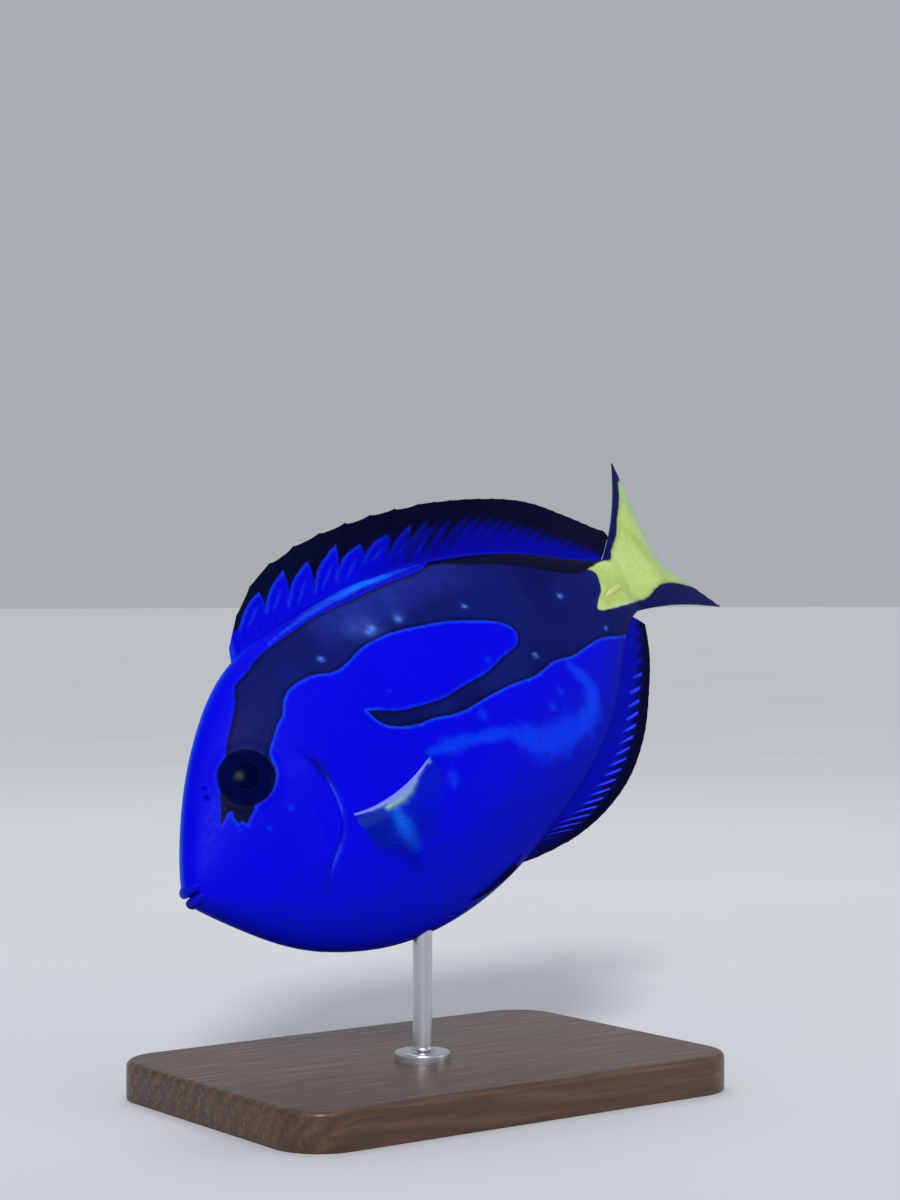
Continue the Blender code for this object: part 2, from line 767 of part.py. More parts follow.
def make_rod(top, collection, body):
    """A turned rod with a broad foot, its top cut to the belly."""
    profile = [
        (0.0, top),
        (ROD_RADIUS, top),
        (ROD_RADIUS, ROD_FOOT_HEIGHT + ROD_FILLET),
        (ROD_RADIUS + 0.3 * ROD_FILLET, ROD_FOOT_HEIGHT + 0.3 * ROD_FILLET),
        (ROD_RADIUS + ROD_FILLET, ROD_FOOT_HEIGHT),
        (ROD_FOOT_RADIUS - 0.0005, ROD_FOOT_HEIGHT),
        (ROD_FOOT_RADIUS, ROD_FOOT_HEIGHT - 0.0005),
        (ROD_FOOT_RADIUS, 0.0),
        (0.0, 0.0),
    ]
    mesh = bpy.data.meshes.new("stand_rod")
    edges = [(i, i + 1) for i in range(len(profile) - 1)]
    mesh.from_pydata([(r, 0, z) for r, z in profile], edges, [])
    rod = new_object("stand_rod", mesh, collection)
    rod.location = (*ROD_PLACE, BASE_HEIGHT + GAP)
    turn = rod.modifiers.new("turn", "SCREW")
    turn.steps = turn.render_steps = 24
    turn.use_merge_vertices = True
    turn.merge_threshold = 0.00001
    turn.use_normal_calculate = True
    apply_modifiers(rod)
    bpy.context.view_layer.update()
    cut(rod, body)
    keep_largest(rod)
    return rod


def stance_matrix(body):
    """Where the fish stands: nose down and banked, its keel over the rod."""
    pitch = Matrix.Rotation(math.radians(-PITCH), 4, "Y")
    turn = pitch @ Matrix.Rotation(math.radians(-BANK), 4, "X")
    keel = turn @ (Vector((ROD_STATION, 0, belly_at(ROD_STATION))) * STANDARD_LENGTH)
    lowest = min((turn @ v.co).z for v in body.data.vertices)
    rise = BASE_HEIGHT + BELLY_CLEARANCE - lowest
    place = Vector((ROD_PLACE[0] - keel.x, ROD_PLACE[1] - keel.y, rise))
    return Matrix.Translation(place) @ turn


def finish_object(obj, material):
    obj.data.materials.clear()
    obj.data.materials.append(material)
    obj.data.shade_smooth()
    obj.data.set_sharp_from_angle(angle=math.radians(35))


def main():
    clear_scene()
    fish = new_collection("regal_blue_tang")
    cutters = new_collection("cutters")
    skin = new_material("blue_skin", (0.0, 0.01, 0.75), 0.35)
    blue = new_material("fin_blue", (0.0, 0.02, 0.45), 0.40)
    yellow = new_material("fin_yellow", (0.75, 0.72, 0.08), 0.40)
    clear = new_material("fin_clear", (0.15, 0.30, 0.70), 0.40)
    dark = new_material("eye_dark", (0.01, 0.01, 0.02), 0.08)
    wood = new_material("dark_wood", (0.08, 0.04, 0.02), 0.45)
    steel = new_material("steel", (0.62, 0.62, 0.64), 0.30, 1.0)

    grown = as_helper(body_loft("grown_body", cutters, grow=GAP, lift=GILL_COVER_LIFT))
    made = {
        make_head(fish, cutters): skin,
        make_trunk(fish, cutters): skin,
        make_tail_stalk(fish, cutters): skin,
        make_dorsal_fin(fish, grown): blue,
        make_anal_fin(fish, grown): blue,
        make_tail_fin(fish, grown): yellow,
        make_pectoral("left_pectoral_fin", -1, fish, grown): clear,
        make_pectoral("right_pectoral_fin", 1, fish, grown): clear,
        make_pelvic("left_pelvic_fin", -1, fish, grown): blue,
        make_pelvic("right_pelvic_fin", 1, fish, grown): blue,
        make_eye("left_eye", -1, fish): dark,
        make_eye("right_eye", 1, fish): dark,
    }
    stance = new_object("stance", None, fish)
    stance.matrix_world = stance_matrix(grown)
    for obj in [*made, *cutters.objects]:
        obj.parent = stance
    bpy.context.view_layer.update()
    made[make_rod(BELLY_CLEARANCE * 1.5, fish, grown)] = steel
    made[make_base(fish)] = wood
    for obj, material in made.items():
        finish_object(obj, material)


main()
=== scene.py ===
"""The looks of a regal blue tang on a display stand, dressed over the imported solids.

The fish is shaped straight, nose at the origin, as its source is: x back to the tail,
y to its right, z up to its back, in shares of the standard length. It is then bent
and set on its stand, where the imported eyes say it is.
"""

import math

import bmesh
import bpy
import numpy as np
from mathutils import Matrix, Vector


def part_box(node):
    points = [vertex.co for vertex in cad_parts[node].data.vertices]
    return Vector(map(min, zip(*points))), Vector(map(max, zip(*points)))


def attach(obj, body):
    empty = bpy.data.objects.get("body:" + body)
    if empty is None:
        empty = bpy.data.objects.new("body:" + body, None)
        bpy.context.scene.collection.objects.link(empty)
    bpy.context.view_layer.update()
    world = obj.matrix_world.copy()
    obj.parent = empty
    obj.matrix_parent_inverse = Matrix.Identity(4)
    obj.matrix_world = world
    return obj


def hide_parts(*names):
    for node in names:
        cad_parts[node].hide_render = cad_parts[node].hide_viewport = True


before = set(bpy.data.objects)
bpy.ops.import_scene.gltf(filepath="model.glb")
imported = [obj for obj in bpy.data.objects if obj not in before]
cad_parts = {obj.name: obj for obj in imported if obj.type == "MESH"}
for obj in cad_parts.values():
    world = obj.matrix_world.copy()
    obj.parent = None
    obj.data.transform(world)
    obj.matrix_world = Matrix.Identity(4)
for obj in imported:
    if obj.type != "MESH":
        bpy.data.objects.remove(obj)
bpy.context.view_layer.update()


def shares(*rows):
    """Rows of numbers given in thousandths."""
    return np.array(rows, float) / 1000


# Sizes of the fish, as its source names them, in metres and degrees.
LENGTH = 0.155
PITCH = 27.1
BANK = 21.2
TAIL_BEND = 25
BEND_START = 0.4927
BEND_SPAN = 0.55

# Lines and spots are tables in thousandths: places in thousandths of the length, then
# radii in millimetres.

# Outline of the body: place along it, back, belly, half width, and how pointed its
# section is above and below.
BODY_STATIONS = shares(
    (0, 0, 0, 0, 1000, 1000), (12, 29, -28, 21, 950, 950), (45, 77, -77, 35, 1000, 900),
    (100, 142, -144, 47, 1100, 850), (170, 204, -196, 58, 1200, 800),
    (250, 250, -232, 69, 1250, 800), (350, 268, -250, 74, 1250, 850),
    (450, 268, -248, 73, 1250, 1000), (570, 254, -226, 66, 1250, 1200),
    (700, 216, -186, 52, 1200, 1250), (830, 160, -115, 36, 1100, 1150),
    (930, 104, -40, 24, 1000, 1000), (970, 88, -24, 17, 1000, 1000), (1000, 82, -20, 7, 1000, 1000),
)

# Free edge of the gill cover, from its upper end to the throat.
GILL_EDGE = shares(
    (227, 160), (246, 105), (260, 60), (259, 15), (250, -22), (233, -48), (203, -71), (168, -105),
    (144, -160), (138, -230),
)
GILL_TOP = 0.095
CHEEK_EDGE = shares((196, 52), (216, 20), (217, -20), (203, -56), (170, -88))
CHEEK_LIFT = 0.00022
GILL_PALE = shares((260, 12, 3), (258, -12, 2.2), (212, -70, 3))
GILL_COVER_LIFT = 0.0007
GILL_GROOVE = 0.0006

# The finer forms of head and stalk: shares on the flank, then sizes in metres.
EYE_PLACE = (0.164, 0.099)
EYE_RADIUS = 0.007
EYE_DEPTH = 0.003
EYE_PROUD = 0.0016
ORBIT_RADIUS = 0.0064
ORBIT_RIM = 0.00022
ORBIT_DEPTH = 0.0034
NOSTRILS = shares((102, 106), (108, 119))
NOSTRIL_RADIUS = 0.00045
NOSTRIL_RIM = 0.00016
NOSTRIL_DEPTH = 0.0004
LIP_WIDTH = 0.0034
LIP_HEIGHT = 0.0013
LIP_THICKNESS = 0.0015
LIP_SET_BACK = 0.0012
LIP_CURVE = 165
LIP_HIGHEST = 0.002
LIP_STEPS = 40
MOUTH_DEPTH = 0.0016
BLADE_START = (0.908, 0.03)
BLADE_LENGTH = 0.009
BLADE_RADIUS = 0.0009
BLADE_SINK = 0.00035
BLADE_GROOVE = 0.0002

# The fins, in shares, as the source has them.
ROOT_SINK = 0.02
ANAL_SINK = 0.015
SPINE_SPACING = 1.35
DORSAL_BASE = (0.262, 0.95)
DORSAL_MARGIN = shares(
    (286, 278), (326, 313), (406, 353), (510, 359), (643, 334), (819, 270), (925, 219), (985, 177),
    (1022, 147), (1040, 131), (1051, 119), (1048, 112), (1034, 108),
)
ANAL_BASE = (0.49, 0.95)
ANAL_MARGIN = shares(
    (498, -240.5), (516, -245.5), (534, -249), (560, -253.5), (587, -256.5), (620, -257.5), (653, -256),
    (690, -250.5), (740, -238), (790, -216), (845, -181.5), (898, -137.5), (955, -85), (986, -46),
)
TAIL_ROOT = (0.985, 0.031)
TAIL_ROOT_HALF = 0.05
TAIL_MARGIN = shares(
    (1240, 218), (1215, 165), (1177, 90), (1164, 37), (1179, 2), (1211, -26), (1250, -60), (1290, -97),
)
PAIRED_SINK = 0.016
PECTORAL_PLACE = (0.251, -0.0445)
PECTORAL_ALONG = (0.645, -0.603, -0.47)
PECTORAL_UP = (0.3, -0.364, 0.88)
PECTORAL_CUP = 0.6
PECTORAL_BASE = shares((0, 20), (0, 0), (0, -24))
PECTORAL_MARGIN = shares((146, 106), (156, 76), (157, 34), (144, -4), (118, -36), (82, -54))
# Marks on the pectoral fin: places in its own plane, and radii.
PECTORAL_MARKS = {
    "teal": shares((22, -20, 3), (52, -14, 4.6)),
    "blade": shares((100, 30, 3), (135, 70, 4)),
    "grey": shares((16, 4, 1.4), (40, 13, 2), (64, 22, 1.8)),
    "azure": shares((78, 22, 1.2), (87, 2, 2.6), (94, -18, 2.6), (102, -36, 2)),
    "gold": shares((68, 29, 0.9), (90, 45.5, 1.8), (113, 66, 0.9)),
    "white": shares(
        (8, 20, 0.3), (45, 28, 0.6), (75, 42.5, 1.1), (100, 59, 1.3), (120, 76.5, 0.8), (140, 97, 0.2),
    ),
    "spot": shares((138, 91.5, 0.6), (139, 92, 0.6)),
}
PELVIC_PLACE = (0.322, -0.02, -0.222)
PELVIC_ALONG = (1, -0.01, -0.045)
PELVIC_UP = (0, 0.3, 1)
PELVIC_BASE = shares((-8, 6), (0, 0), (10, -8))
PELVIC_MARGIN = shares((175, 0), (152, -12), (118, -18), (85, -20))

# Each fin in its rays, spines, notches, rows, seed, rake and fan, the ways that its
# first and last ray set out, and half thicknesses: on the rays, between, at the root.
FINS = {
    "dorsal": ((29, 9, 0.03, 48, 1, 0.5), ((0.5, 1), (0.95, 0.2)), (0.0004, 0.00022, 0.0009)),
    "anal": ((25, 3, 0.02, 44, 2, 0, 1.8), ((1, -0.2), (1, -0.3)), (0.0004, 0.00022, 0.0009)),
    "tail": ((17, 0, 0.03, 60, 3), ((1, 0.45), (1, -0.2)), (0.0003, 0.0002, 0.0018)),
    "pectoral": ((15, 0, 0.03, 50, 4), ((1, 0.12), (1, -0.55)), (0.0003, 0.00012, 0.0009)),
    "pelvic": ((6, 1, 0.05, 50, 5), ((1, -0.1), (1, -0.25)), (0.0005, 0.0002, 0.0009)),
}
DORSAL_WAVE = 0.0015

# Markings of the flank. The dark band runs from below the eye along the
# back to the stalk and sends a tongue forward over the middle of the flank.
BAND_OUTER = shares(
    (90, 60), (101, 74), (114, 92), (141, 122), (171, 153), (212, 189), (227, 204), (241, 221), (266, 229),
    (302, 241), (349, 245), (391, 247), (431, 247), (469, 243), (507, 239), (547, 235), (588, 229),
    (630, 224), (655, 229), (692, 250),
)
BAND_REAR = shares((800, 300), (1050, 200), (1050, -32), (980, -36))
BAND_LOWER = shares(
    (935, -42), (897, -39), (861, -28), (835, -22), (782, -21), (754, -19), (734, -13), (709, -11),
    (685, -13), (663, -12), (641, -7), (608, -2), (551, 2), (527, 3), (498, 9), (467, 20), (444, 24),
    (423, 31), (401, 44), (389, 56), (384, 68), (381, 84),
)
BAND_TONGUE = shares(
    (399, 74), (427, 57), (448, 50), (476, 42), (500, 37), (548, 35), (601, 33), (643, 39), (665, 40),
    (681, 45), (690, 55),
)
BAND_OVAL = shares(
    (691, 66), (684, 78), (646, 106), (594, 133), (538, 153), (497, 165), (476, 168), (448, 169),
    (421, 165), (394, 160), (380, 160), (367, 164), (351, 172), (327, 176), (310, 176), (294, 172),
    (278, 161), (265, 147), (251, 140), (232, 126), (211, 108), (208, 97), (205, 86), (198, 75), (186, 67),
    (172, 61), (152, 60),
)
BAND_PRONGS = shares(
    (146, 55), (133, 48), (123, 42), (122, 50), (114, 50), (114, 61), (118, 69), (112, 72), (100, 65),
)
RIDGE_EDGE = shares(
    (600, 245), (631, 226), (657, 220), (696, 198), (759, 164), (819, 123), (852, 101), (890, 83),
    (917, 81),
)
YELLOW_FRONT = shares(
    (979, 81), (959, 82.5), (942, 82.5), (916, 81.5), (925, 75), (925, 64), (917, 52), (908, 42),
    (893, 34), (880, 27), (872, 19), (887, 11), (919, 4), (960, -3),
)
YELLOW_LOW = shares(
    (1008, -8), (1027, -11), (1053, -10), (1081, -6), (1115, -6), (1148, -12), (1185, -24), (1219, -38),
    (1259, -58), (1300, -85),
)
YELLOW_HIGH = shares(
    (1300, 150), (1235, 182), (1212, 184), (1197, 176), (1180, 164), (1146, 146), (1105, 126), (1069, 105),
    (1034, 91), (1014, 81), (1003, 75.5), (990, 78.5),
)
# Painted highlight on the root of the tail.
TAIL_ROOT_HIGHLIGHT = shares((1030, 66, 7), (1060, 35, 7), (1085, 15, 5))
# Pale flecks and cloudy azure patches.
FLECKS = shares(
    (479, 185, 1), (470, 183, 0.8), (527, 176, 0.8), (375, 187, 0.7), (640, 138, 0.6), (815, 70, 0.7),
    (695, 13, 0.6), (865, -14, 0.5),
)
HAZE = shares((472, 190, 3.4), (455, 200, 2.4), (530, 178, 1.6))
CLOUDS = shares(
    (744, -30, 1.2), (756, -55, 1.8), (762, -84, 2.3), (744, -108, 3), (700, -118, 3.6), (656, -112, 4.2),
    (622, -106, 4.3), (590, -80, 2.8), (560, -60, 1.9), (520, -45, 1.6), (486, -34, 1.9), (455, -26, 1.9),
    (425, -19, 0.9),
)
CLOUD_SPOTS = shares(
    (670, -70, 1.6), (701, -56, 1.4), (548, -16, 2), (431, 91, 1), (613, 49, 1.2), (438, -74, 2.2),
    (191, 26, 0.9), (111, 40, 0.4), (126, 36, 0.4), (147, 18, 0.7),
)

# Blue tongues of the dorsal fin: the valley before each, its front edge, its tip.
TONGUES = shares(
    (317, 294, 346, 316, 381, 328), (368, 294, 391, 317, 438, 337), (410, 283, 430, 308, 482, 330),
    (457, 282, 486, 309, 538, 329), (502, 276, 528, 302, 573, 309), (558, 281, 578, 294, 622, 302),
    (604, 268, 625, 283, 663, 290), (636, 255, 655, 269, 696, 279), (674, 252, 694, 262, 730, 268),
    (712, 246, 730, 254, 763, 256),
)
# Painted highlight along the root of the dorsal fin.
FIN_BASE_HIGHLIGHT = shares(
    (330, 250, 0.35), (395, 256, 0.6), (430, 257.5, 0.8), (467, 258, 0.95), (500, 256, 1),
    (535, 252.5, 0.9), (565, 246.5, 0.8), (600, 241, 0.55), (640, 232, 0.3),
)
DORSAL_BLUE_REAR = shares((790, 242), (824, 224), (879, 188), (930, 147), (965, 118), (985, 100))
ANAL_BLUE = shares(
    (990, -30), (980, -41), (947, -77), (889, -128), (835, -170), (782, -203), (734, -225), (687, -239),
    (652, -246), (620, -249), (587, -249.5), (560, -248), (534, -246), (490, -252),
)

# Fineness of the meshes.
SKIN_RINGS = 280
SKIN_SIDES = 256
FIN_COLUMNS = 12

# Colours, as linear light.
BLUE = (0.0006, 0.0008, 0.69)
BLUE_DEEP = (0.0004, 0.0006, 0.57)
# Darker blue of the belly: partly the fish's own tone, partly painted shade of the underside.
BELLY_TONE_AND_SHADE = (0.0004, 0.0042, 0.35)
AZURE = (0.006, 0.05, 0.78)
CLOUD_BLUE = (0.001, 0.038, 0.8)
BAND = (0.003, 0.0085, 0.13)
BAND_DEEP = (0.0012, 0.0042, 0.085)
BLACK = (0.0006, 0.0008, 0.018)
OLIVE = (0.37, 0.45, 0.14)
YELLOW = (0.47, 0.61, 0.16)
# Colour of the painted highlight on the tail's root.
YELLOW_HIGHLIGHT = (0.49, 0.68, 0.23)
FLECK = (0.1, 0.22, 0.9)
# Colour of the painted rim light along the top edge of the head.
NAPE_RIM_LIGHT = (0.016, 0.1, 0.85)
# Colour of the painted shade on the top of the back, under the dorsal fin.
BACK_SHADE_BLUE = (0.0002, 0.0004, 0.4)
# Colour of the painted highlight along the dorsal fin's root.
FIN_BASE_HIGHLIGHT_BLUE = (0.005, 0.14, 1)
# Colour of the painted shadow in the gill slit.
GILL_SHADOW = (0.0005, 0.0005, 0.16)
GILL_BRIGHT = (0.04, 0.11, 1)
# Colour of the painted sheen on the top of the dark band.
BAND_TOP_SHEEN = (0.012, 0.024, 0.28)
HAZE_BLUE = (0.045, 0.08, 0.42)
YELLOW_GREY = (0.52, 0.6, 0.36)
YELLOW_EDGE = (0.2, 0.19, 0.13)
# Colour of the painted shade in the eye sockets.
ORBIT_SHADE = (0.0005, 0.0012, 0.03)
LIP_BLUE = (0.004, 0.01, 0.22)

# The stand, in metres.
BASE_LENGTH = 0.124
BASE_WIDTH = 0.084
BASE_HEIGHT = 0.009
BASE_CORNER = 0.012
BASE_TOP_EDGE = 0.0015
BASE_FOOT_EDGE = 0.0005
ROD_RADIUS = 0.00225
ROD_FOOT_RADIUS = 0.0065
ROD_FOOT_HEIGHT = 0.0024
ROD_FILLET = 0.0012
ROD_FOOT_EDGE = 0.0006
ROD_INTO_BELLY = 0.0004

# What the lights aim at, and the photo's camera: place in metres, level heading in
# degrees, lens in millimetres.
LIGHTS_AIM = (0, 0, 0.085)
CAMERA_PLACE = (-0.347, -0.477, 0.1156)
CAMERA_HEADING = -36.53
CAMERA_LENS = 75.42
SENSOR_HEIGHT = 36


def spline(places, values):
    """A natural cubic spline through one or more columns of values, for arrays."""
    x = np.array(places, float)
    y = np.array(values, float).reshape(len(x), -1)
    n = len(x)
    step = np.diff(x)
    system = np.zeros((n, n))
    right = np.zeros_like(y)
    system[0, 0] = system[-1, -1] = 1
    for i in range(1, n - 1):
        system[i, i - 1 : i + 2] = step[i - 1], 2 * (step[i - 1] + step[i]), step[i]
        right[i] = 6 * ((y[i + 1] - y[i]) / step[i] - (y[i] - y[i - 1]) / step[i - 1])
    second = np.linalg.solve(system, right)

    def at(value):
        value = np.asarray(value, float)
        i = np.clip(np.searchsorted(x, value) - 1, 0, n - 2)
        h = step[i]
        a = ((x[i + 1] - value) / h)[..., None]
        b = ((value - x[i]) / h)[..., None]
        bow = (a**3 - a) * second[i] + (b**3 - b) * second[i + 1]
        return a * y[i] + b * y[i + 1] + bow * h[..., None] ** 2 / 6

    return at


def path(points):
    """A function of 0 to 1 along a smooth path through the points."""
    points = np.array(points, float)
    run = np.concatenate([[0], np.cumsum(np.linalg.norm(np.diff(points, axis=0), axis=1))])
    return spline(run / run[-1], points)


def smooth_line(points, count):
    return path(points)(np.linspace(0, 1, count))


BODY = spline(np.sqrt(BODY_STATIONS[:, 0]), BODY_STATIONS[:, 1:])


def body_at(share):
    """Back, belly, half width and the two points of the section, as shares."""
    return np.moveaxis(BODY(np.sqrt(np.clip(share, 0, 1))), -1, 0)


def flank(x, z):
    """Half width of the body at a place on its side, as shares."""
    back, belly, half, top, bottom = body_at(x)
    rise = (z - (back + belly) / 2) / ((back - belly) / 2)
    point = np.where(rise > 0, top, bottom)
    return half * np.clip(1 - rise**2, 0, 1) ** (point / 2)


def body_surface(share, angle):
    """Points of the straight body, in metres, from ring places and angles."""
    back, belly, half, top, bottom = body_at(share)
    point = np.where(np.sin(angle) > 0, top, bottom)
    y = -np.sign(np.cos(angle)) * half * np.abs(np.cos(angle)) ** point
    z = (back + belly) / 2 + (back - belly) / 2 * np.sin(angle)
    return np.stack([share, y, z], -1) * LENGTH


def bend_table():
    shares = np.linspace(-0.2, 1.5, 681)
    past = (shares - BEND_START) / BEND_SPAN
    beyond = np.clip(past - 1, 0, 1 / 3)
    turned = np.clip(past, 0, 1) ** 2 + 2 * beyond - 3 * beyond**2
    angles = math.radians(TAIL_BEND) * turned
    middle = (angles[1:] + angles[:-1]) / 2
    step = (shares[1] - shares[0]) * LENGTH
    ahead = np.concatenate([[0], np.cumsum(np.cos(middle) * step)]) + shares[0] * LENGTH
    aside = np.concatenate([[0], np.cumsum(np.sin(middle) * step)])
    return shares * LENGTH, ahead, aside, angles


BEND = bend_table()


def bent(points):
    """Points of the straight fish, moved to where the bent fish has them."""
    x, y, z = np.moveaxis(np.asarray(points, float), -1, 0)
    ahead, aside, angle = (np.interp(x, BEND[0], BEND[k]) for k in (1, 2, 3))
    return np.stack([ahead - y * np.sin(angle), aside + y * np.cos(angle), z], -1)


def eye_frame(side):
    """An eye's place on the straight flank and the way it looks."""
    x, z = EYE_PLACE
    step = 0.03
    slope_x = float(flank(x + step, z) - flank(x - step, z)) / (2 * step)
    slope_z = float(flank(x, z + step) - flank(x, z - step)) / (2 * step)
    out = Vector((-slope_x, side, -slope_z)).normalized()
    return Vector((x, side * float(flank(x, z)), z)) * LENGTH, out


def stance_matrix():
    """Where the fish stands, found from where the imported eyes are."""
    pitch = Matrix.Rotation(math.radians(-PITCH), 4, "Y")
    turn = pitch @ Matrix.Rotation(math.radians(-BANK), 4, "X")
    shift = Vector((0, 0, 0))
    for node, side in (("left_eye", -1), ("right_eye", 1)):
        low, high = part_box(node)
        place, out = eye_frame(side)
        shift += ((low + high) / 2 - turn @ (place + out * (EYE_PROUD - EYE_DEPTH))) / 2
    return Matrix.Translation(shift) @ turn


STANCE = stance_matrix()


def stand_up(points):
    """Points of the straight fish, bent and set on the stand."""
    matrix = np.array(STANCE)
    return bent(points) @ matrix[:3, :3].T + matrix[:3, 3]


def nearest(points, line):
    """Of a line of corners: distance, side, nearest stretch and how far along that."""
    best = np.full(len(points), 1e9)
    side, part = np.zeros((2, len(points)))
    stretch = np.zeros(len(points), int)
    for i, (a, b) in enumerate(zip(line, line[1:])):
        d = b - a
        t = np.clip(((points - a) @ d) / max(float(d @ d), 1e-18), 0, 1)
        far = np.linalg.norm(points - a - t[:, None] * d, axis=1)
        closer = far < best
        best = np.where(closer, far, best)
        stretch[closer] = i
        part = np.where(closer, t, part)
        if points.shape[1] == 2:
            cross = d[0] * (points[:, 1] - a[1]) - d[1] * (points[:, 0] - a[0])
            side = np.where(closer, np.sign(cross), side)
    return best, side, stretch, part


def segment_distance(points, line):
    """Distance to a line of corners, the side it lies on, and how far along it."""
    best, side, stretch, part = nearest(points, line)
    return best, side, (stretch + part) / (len(line) - 1)


def region(points, sections):
    """Distance to a closed outline, above zero inside, and its nearest section's value.

    The sections are lines in shares, each with a value, that follow one another.
    """
    ring = np.vstack([line for line, _ in sections]) * LENGTH
    ring = np.vstack([ring, ring[:1]])
    values = np.concatenate([np.full(len(line), value) for line, value in sections])
    far, _, stretch, _ = nearest(points, ring)
    inside = np.zeros(len(points), bool)
    for a, b in zip(ring, ring[1:]):
        d = b - a
        spans = (a[1] > points[:, 1]) != (b[1] > points[:, 1])
        slope = d[1] if abs(d[1]) > 1e-12 else 1e-12
        inside ^= spans & (points[:, 0] < a[0] + (points[:, 1] - a[1]) / slope * d[0])
    return np.where(inside, far, -far), values[stretch]


def blobs(points, spots, fall=1):
    """A soft mask, 1 at the middle of each spot of (x, z, radius)."""
    mask = np.zeros(len(points))
    for x, z, radius in spots:
        far = np.hypot(points[:, 0] - x * LENGTH, points[:, 1] - z * LENGTH)
        mask = np.maximum(mask, np.exp(-((far / radius) ** 2) * fall))
    return mask


def streak(points, spots):
    """A soft mask along a line of (x, z, radius)."""
    return blobs(points, smooth_line(spots, 60), 0.8)


def step_up(value, low, high):
    t = np.clip((value - low) / (high - low), 0, 1)
    return t * t * (3 - 2 * t)


def bell(value, width):
    """1 at zero, falling off softly to both sides."""
    return np.exp(-((value / width) ** 2))


# Materials


class Wire:
    """An output of a material's node. A sum of wires reads like one of numbers."""

    def __init__(self, paint, socket):
        self.paint, self.socket = paint, socket

    def calc(self, operation, other=0):
        return self.paint.add("Math", {0: self, 1: other}, operation=operation)

    def __add__(self, other):
        return self.calc("ADD", other)

    def __sub__(self, other):
        return self.calc("SUBTRACT", other)

    def __mul__(self, other):
        return self.calc("MULTIPLY", other)

    def rise(self, low, high, to_low=0, to_high=1):
        """A smooth step from one level to another."""
        inputs = {0: self, 1: low, 2: high, 3: to_low, 4: to_high}
        return self.paint.add("MapRange", inputs, interpolation_type="SMOOTHSTEP")


class Paint:
    """A material, with short names for the nodes that the model's materials use."""

    def __init__(self, name, **fixed):
        """Constants of the shader are given by the names of its inputs."""
        self.material = bpy.data.materials.new(name)
        self.material.use_nodes = True
        self.tree = self.material.node_tree
        for key, value in fixed.items():
            value = (*value, 1) if isinstance(value, tuple) else value
            self.socket(key).default_value = value

    def socket(self, key):
        """The shader's input of a name such as base_color."""
        key = key.replace("_", " ").title().replace("Ior", "IOR")
        return self.tree.nodes["Principled BSDF"].inputs[key]

    def done(self, **ends):
        """The material, once its shader's inputs are linked to what is worked out."""
        for key, wire in ends.items():
            self.tree.links.new(wire.socket, self.socket(key))
        return self.material

    def add(self, kind, inputs, output=0, **settings):
        """An output of a new node, whose inputs are linked or set by index or name."""
        made = self.tree.nodes.new("ShaderNode" + kind)
        for key, value in settings.items():
            setattr(made, key, value)
        for key, value in inputs.items():
            if isinstance(value, Wire):
                self.tree.links.new(value.socket, made.inputs[key])
            else:
                made.inputs[key].default_value = value
        return Wire(self, made.outputs[output])

    def value(self, name, kind="Fac"):
        return self.add("Attribute", {}, kind, attribute_name=name)

    def straight(self):
        """A place on the straight fish, in millimetres."""
        return self.value("straight", "Vector")

    def object_place(self):
        return self.add("TexCoord", {}, "Object")

    def mix(self, factor, a, b):
        """Mixes two colours, each a wire or three numbers."""
        a, b = ((*v, 1) if isinstance(v, tuple) else v for v in (a, b))
        inputs = {0: factor, 6: a, 7: b}
        return self.add("Mix", inputs, 2, data_type="RGBA", blend_type="MIX")

    def layers(self, colour, *coats):
        """A colour under coats, each given with how much of it shows."""
        for amount, coat in coats:
            colour = self.mix(amount, colour, coat)
        return colour

    def noise(self, place, scale, detail=3, roughness=0.5, stretch=None):
        if stretch:
            place = self.add("Mapping", {0: place, 3: stretch})
        inputs = {"Vector": place, "Scale": scale, "Detail": detail, "Roughness": roughness}
        return self.add("TexNoise", inputs)

    def bump(self, height, distance, strength, normal=None):
        inputs = {"Strength": strength, "Distance": distance, "Height": height}
        if normal:
            inputs["Normal"] = normal
        return self.add("Bump", inputs)


# Meshes


def set_values(mesh, values):
    """Writes one attribute a point for each name."""
    for name, data in values.items():
        data = np.asarray(data, np.float32)
        kind = "FLOAT_VECTOR" if data.ndim == 2 else "FLOAT"
        layer = mesh.attributes.new(name, kind, "POINT")
        layer.data.foreach_set("vector" if data.ndim == 2 else "value", data.ravel())


def mesh_points(mesh):
    flat = np.zeros(len(mesh.vertices) * 3)
    mesh.vertices.foreach_get("co", flat)
    return flat.reshape(-1, 3)


def move_points(mesh, points):
    mesh.vertices.foreach_set("co", points.ravel())
    mesh.update()


def raw_mesh(name, points, faces, edges=()):
    mesh = bpy.data.meshes.new(name)
    mesh.from_pydata(np.array(points).tolist(), edges, faces)
    return mesh


def new_mesh(name, shape):
    """A mesh from a finished bmesh."""
    mesh = bpy.data.meshes.new(name)
    shape.to_mesh(mesh)
    shape.free()
    return mesh


def face_outward(mesh):
    shape = bmesh.new()
    shape.from_mesh(mesh)
    bmesh.ops.recalc_face_normals(shape, faces=shape.faces[:])
    shape.to_mesh(mesh)
    shape.free()


def add_object(name, data):
    made = bpy.data.objects.new(name, data)
    bpy.context.scene.collection.objects.link(made)
    return made


def new_object(name, mesh, material, smooth=True):
    mesh.materials.append(material)
    if smooth:
        mesh.shade_smooth()
    return add_object(name, mesh)


def grid_faces(columns, rows):
    """Quads over a grid of points kept column by column."""
    a = (np.arange(columns - 1)[:, None] * rows + np.arange(rows - 1)).ravel()
    return np.stack([a, a + rows, a + rows + 1, a + 1], -1)


# Skin


